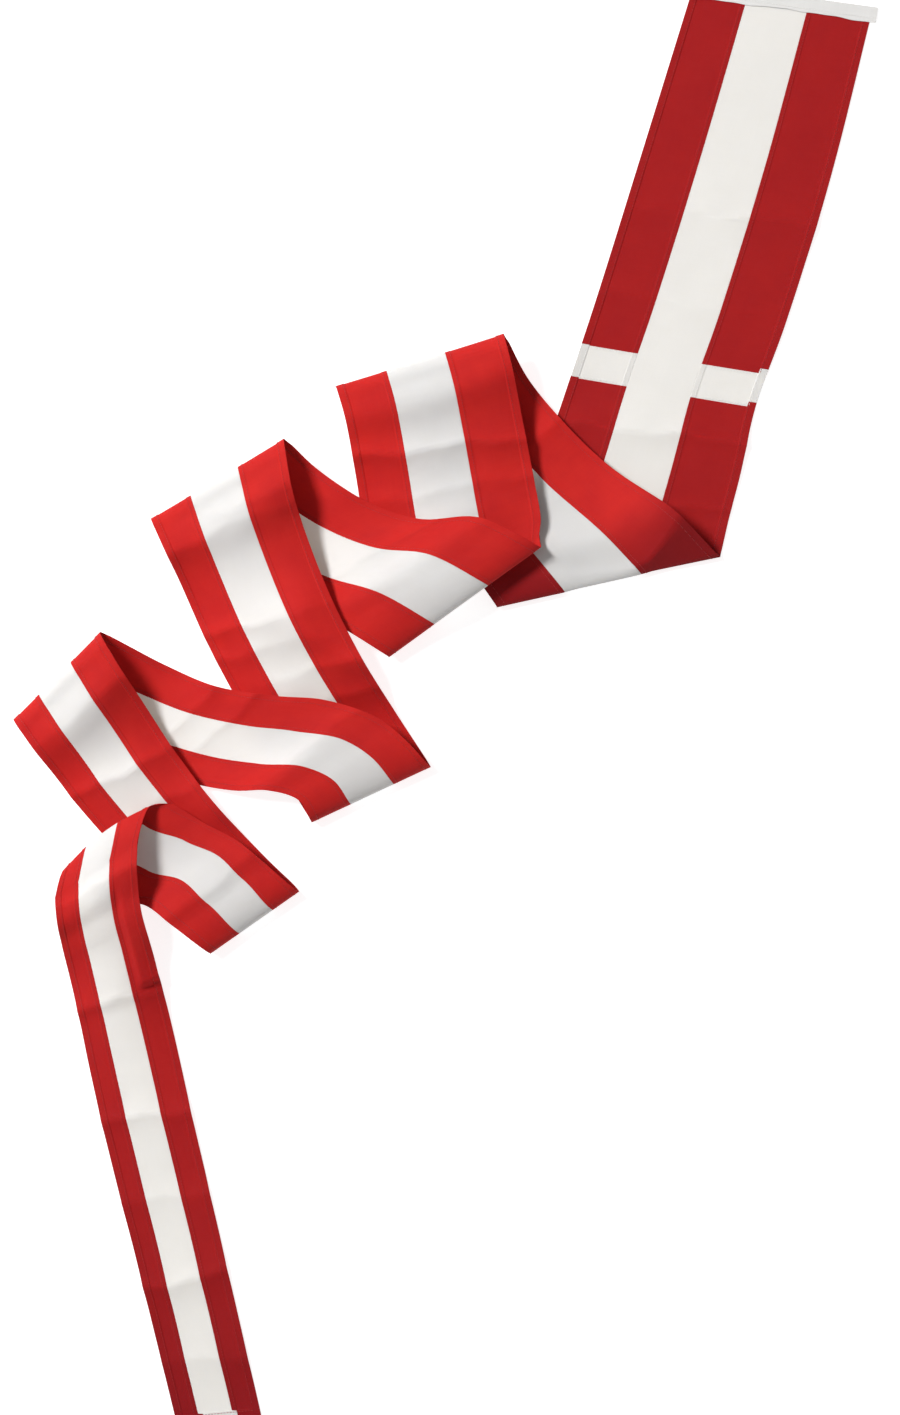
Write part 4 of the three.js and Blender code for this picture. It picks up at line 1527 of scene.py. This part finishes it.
@dataclass
class Pennant:
    """The whole object: eight pieces of cloth and tape and ten rows of stitches, all on the body root."""

    cloth: LaidCloth
    make: Make
    shop: Workshop
    materials: dict[str, bpy.types.Material]
    body: str = "root"

    def build(self) -> None:
        tape = HeadingTape(self.cloth)
        low = np.array(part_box(tape.node)[0]) / METRES_PER_MM
        self.shop.shift = (low - tape.lowest_corner()) * np.array([1, 1, 0])
        pieces = self._cloth_pieces()
        strips = {piece.node: self._finish_piece(piece) for piece in pieces}
        rows = {row.node: self._finish_piece(row) for row in self._stitch_rows()}
        folded = tape.build(self.shop, self.materials["heading_tape"])
        self._settle(folded, tape.node)
        sewn = tape.build_stitches(self.shop, self.materials["white_thread"])
        self._settle(sewn, "heading_thread")
        for piece in pieces:
            self._declare(piece)

    def _finish_piece(self, piece: ClothPiece | StitchRow) -> bpy.types.Object:
        """Builds a piece with its finish and settles it."""
        made = piece.build(self.shop, self.materials[piece.slot])
        self._settle(made, piece.node)
        return made

    def _settle(self, made: bpy.types.Object, node: str) -> None:
        """Puts a piece on the body, in the place of its CAD node, and reports it."""
        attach(made, self.body)
        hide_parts(node)
        LOG.info("%s: %d faces in place of %s", made.name, len(made.data.polygons), node)

    def _cloth_pieces(self) -> list[ClothPiece]:
        """The stripe, and on each side the field at the hoist, the cross bar and the long field."""
        cut, make = self.cloth.cut, self.make
        tail = cut.length - 1
        bar_end = cut.bar_distance + cut.bar_width
        gap = make.seam_gap
        node, start = "centre_stripe", cut.heading_lead
        pieces = [ClothPiece(f"{node}_cloth", node, "white_cloth", start, tail, None, make, self.cloth)]
        for side in Side:
            for kind, slot, start, end in (
                ("hoist_field", "red_cloth", cut.heading_lead, cut.bar_distance - gap),
                ("cross_bar", "white_cloth", cut.bar_distance + gap, bar_end - gap),
                ("fly_field", "red_cloth", bar_end + gap, tail),
            ):
                node = f"{kind}_{side.word}"
                pieces.append(ClothPiece(f"{node}_cloth", node, slot, start, end, side, make, self.cloth))
        return pieces

    def _stitch_rows(self) -> list[StitchRow]:
        """Long rows beside the seams and on the hems, short rows at the bar, and the row of the tail hem."""
        cut, make = self.cloth.cut, self.make
        half = make.thickness / 2
        rows = []
        for side in Side:
            rows.append(self._long_row("seam", side, cut.length - 2, make.fell_rise))
            rows.append(self._long_row("hem", side, cut.length - make.tail_depth - 2, make.hem_rise))
            rows.append(self._bar_row(side, "hoist", make.fell_rise))
            rows.append(self._bar_row(side, "fly", make.hem_rise))
        along = cut.length - make.tail_depth + make.tail_row_inset
        reach = float(cut.cloth_width(along)) / 2 - 1.5
        stand = {Face.FRONT: half + make.hem_rise, Face.BACK: half}
        corners = ((along, -reach), (along, reach))
        name, node = "tail_hem_stitches", "tail_hem_thread"
        rows.append(StitchRow(name, node, "red_thread", corners, stand, self.cloth))
        return rows

    def _seam_place(self, kind: str, side: Side, along: float) -> tuple[float, float]:
        """A place on the long row of a side: on the felled seam, or on the hem near its inner edge."""
        cut, make = self.cloth.cut, self.make
        if kind == "seam":
            return along, float(cut.seam(along, side)) + side.value * (make.fell_width - make.seam_row_inset)
        return along, float(cut.edge(along, side)) - side.value * (make.hem_depth - make.hem_row_inset)

    def _long_row(self, kind: str, side: Side, end: float, rise: float) -> StitchRow:
        """A row from the heading to the tail. It leaves out the cross bar, which is sewn in white."""
        cut = self.cloth.cut
        half = self.make.thickness / 2
        return StitchRow(
            f"{kind}_stitches_{side.word}",
            f"{kind}_thread_{side.word}",
            "red_thread",
            (self._seam_place(kind, side, self.make.sewn_from), self._seam_place(kind, side, end)),
            {Face.FRONT: half + rise, Face.BACK: half},
            self.cloth,
            skip=(cut.bar_distance, cut.bar_distance + cut.bar_width),
        )

    def _bar_row(self, side: Side, word: str, rise: float) -> StitchRow:
        """A white row on the bar: along its felled seam and its hoist side, or its hem and its fly side."""
        cut, make = self.cloth.cut, self.make
        hoist = cut.bar_distance + make.bar_row_inset
        fly = cut.bar_distance + cut.bar_width - make.bar_row_inset
        inner = self._seam_place("seam", side, hoist)
        outer = self._seam_place("hem", side, fly)
        if word == "hoist":
            corners = (self._seam_place("seam", side, fly), inner, (hoist, outer[1] - side.value * 2))
        else:
            corners = (self._seam_place("hem", side, hoist), outer, (fly, inner[1] + side.value * 2))
        half = make.thickness / 2
        stand = {Face.FRONT: half + rise * 0.5, Face.BACK: half}
        name, node = f"bar_stitches_{side.word}_{word}", f"bar_thread_{side.word}_{word}"
        return StitchRow(name, node, "white_thread", corners, stand, self.cloth)

    def _declare(self, piece: ClothPiece) -> None:
        """Works out the size that a strip was cut to, and its area. Nothing is kept or used.

        Args:
            piece: The strip.
        """
        flat, area = piece.flat_size()


# ---------------------------------------------------------------- the studio


@dataclass
class Studio:
    """A plain pale floor, soft light from the upper left, and a camera that looks straight down."""

    camera_height: float = 3.0
    camera_x: float = 0.0048
    camera_y: float = -0.0029
    field_height: float = 1.490
    sensor: float = 36.0
    key_place: Vector3 = (-2.5, 1.65, 3.5)
    key_size: float = 1.1
    key_power: float = 254.0
    sky: Vector3 = (1.0, 1.0, 1.0)
    sky_strength: float = 0.36
    floor_reach: float = 6.0
    floor_colour: Vector3 = (0.5, 0.5, 0.5)
    floor_glow: float = 0.8

    def build(self) -> None:
        """Makes the floor, the light, the sky and the camera."""
        self._floor()
        self._key()
        self._world()
        self._camera()
        bpy.context.scene.view_settings.view_transform = "Standard"

    def _floor(self) -> None:
        """A wide flat plate under the pennant, pale and lit from within like a light table."""
        half = self.floor_reach
        mesh = bpy.data.meshes.new("floor")
        corners = [(-half, -half, 0), (half, -half, 0), (half, half, 0), (-half, half, 0)]
        mesh.from_pydata(corners, [], [(0, 1, 2, 3)])
        floor = bpy.data.objects.new("floor", mesh)
        bpy.context.scene.collection.objects.link(floor)
        material, tree, shader = new_material("pale_floor")
        grain = add_node(tree, "TexNoise", {"Scale": 60.0}).outputs["Fac"]
        values = {
            "Base Color": opaque(self.floor_colour),
            "Emission Color": (1, 1, 1, 1),
            "Emission Strength": self.floor_glow,
            "Specular IOR Level": 0.1,
            "Roughness": ranged(tree, grain, 0.8, 0.95),
        }
        feed(tree, shader, values)
        mesh.materials.append(material)

    def _key(self) -> None:
        """A large soft lamp that points at the middle of the pennant."""
        data = bpy.data.lights.new("key_lamp", "AREA")
        data.shape = "DISK"
        data.size = self.key_size
        data.energy = self.key_power
        lamp = bpy.data.objects.new("key_lamp", data)
        lamp.location = self.key_place
        reach = -np.array(self.key_place)
        lamp.rotation_euler = (
            math.acos(-reach[2] / np.linalg.norm(reach)),
            0.0,
            math.atan2(reach[1], reach[0]) - math.pi / 2,
        )
        lamp.visible_camera = False
        bpy.context.scene.collection.objects.link(lamp)

    def _world(self) -> None:
        """An even pale sky that fills the shadows."""
        world = bpy.data.worlds.new("pale_room")
        world.use_nodes = True
        sky = world.node_tree.nodes["Background"]
        sky.inputs["Color"].default_value = opaque(self.sky)
        sky.inputs["Strength"].default_value = self.sky_strength
        bpy.context.scene.world = world

    def _camera(self) -> None:
        """Looks straight down. The long side of the picture is up, and takes in field_height at the floor."""
        data = bpy.data.cameras.new("camera")
        data.sensor_width = self.sensor
        data.sensor_fit = "AUTO"
        data.lens = self.sensor * self.camera_height / self.field_height
        camera = bpy.data.objects.new("camera", data)
        camera.location = (self.camera_x, self.camera_y, self.camera_height)
        bpy.context.scene.collection.objects.link(camera)
        bpy.context.scene.camera = camera


def main() -> None:
    """Lays the cloth, builds and dresses every piece, and sets the studio."""
    logging.basicConfig(level=logging.INFO, format="%(name)s: %(message)s")
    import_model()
    cloth = LaidCloth(CutSizes(), Relief())
    LOG.info("cloth: %d rows of %d points", *cloth.points.shape[:2])
    effects = Effects()
    materials = {finish.name: finish.make(effects) for finish in FINISHES}
    Pennant(cloth, Make(), Workshop(cloth), materials).build()
    Studio().build()


if __name__ == "__main__":
    main()
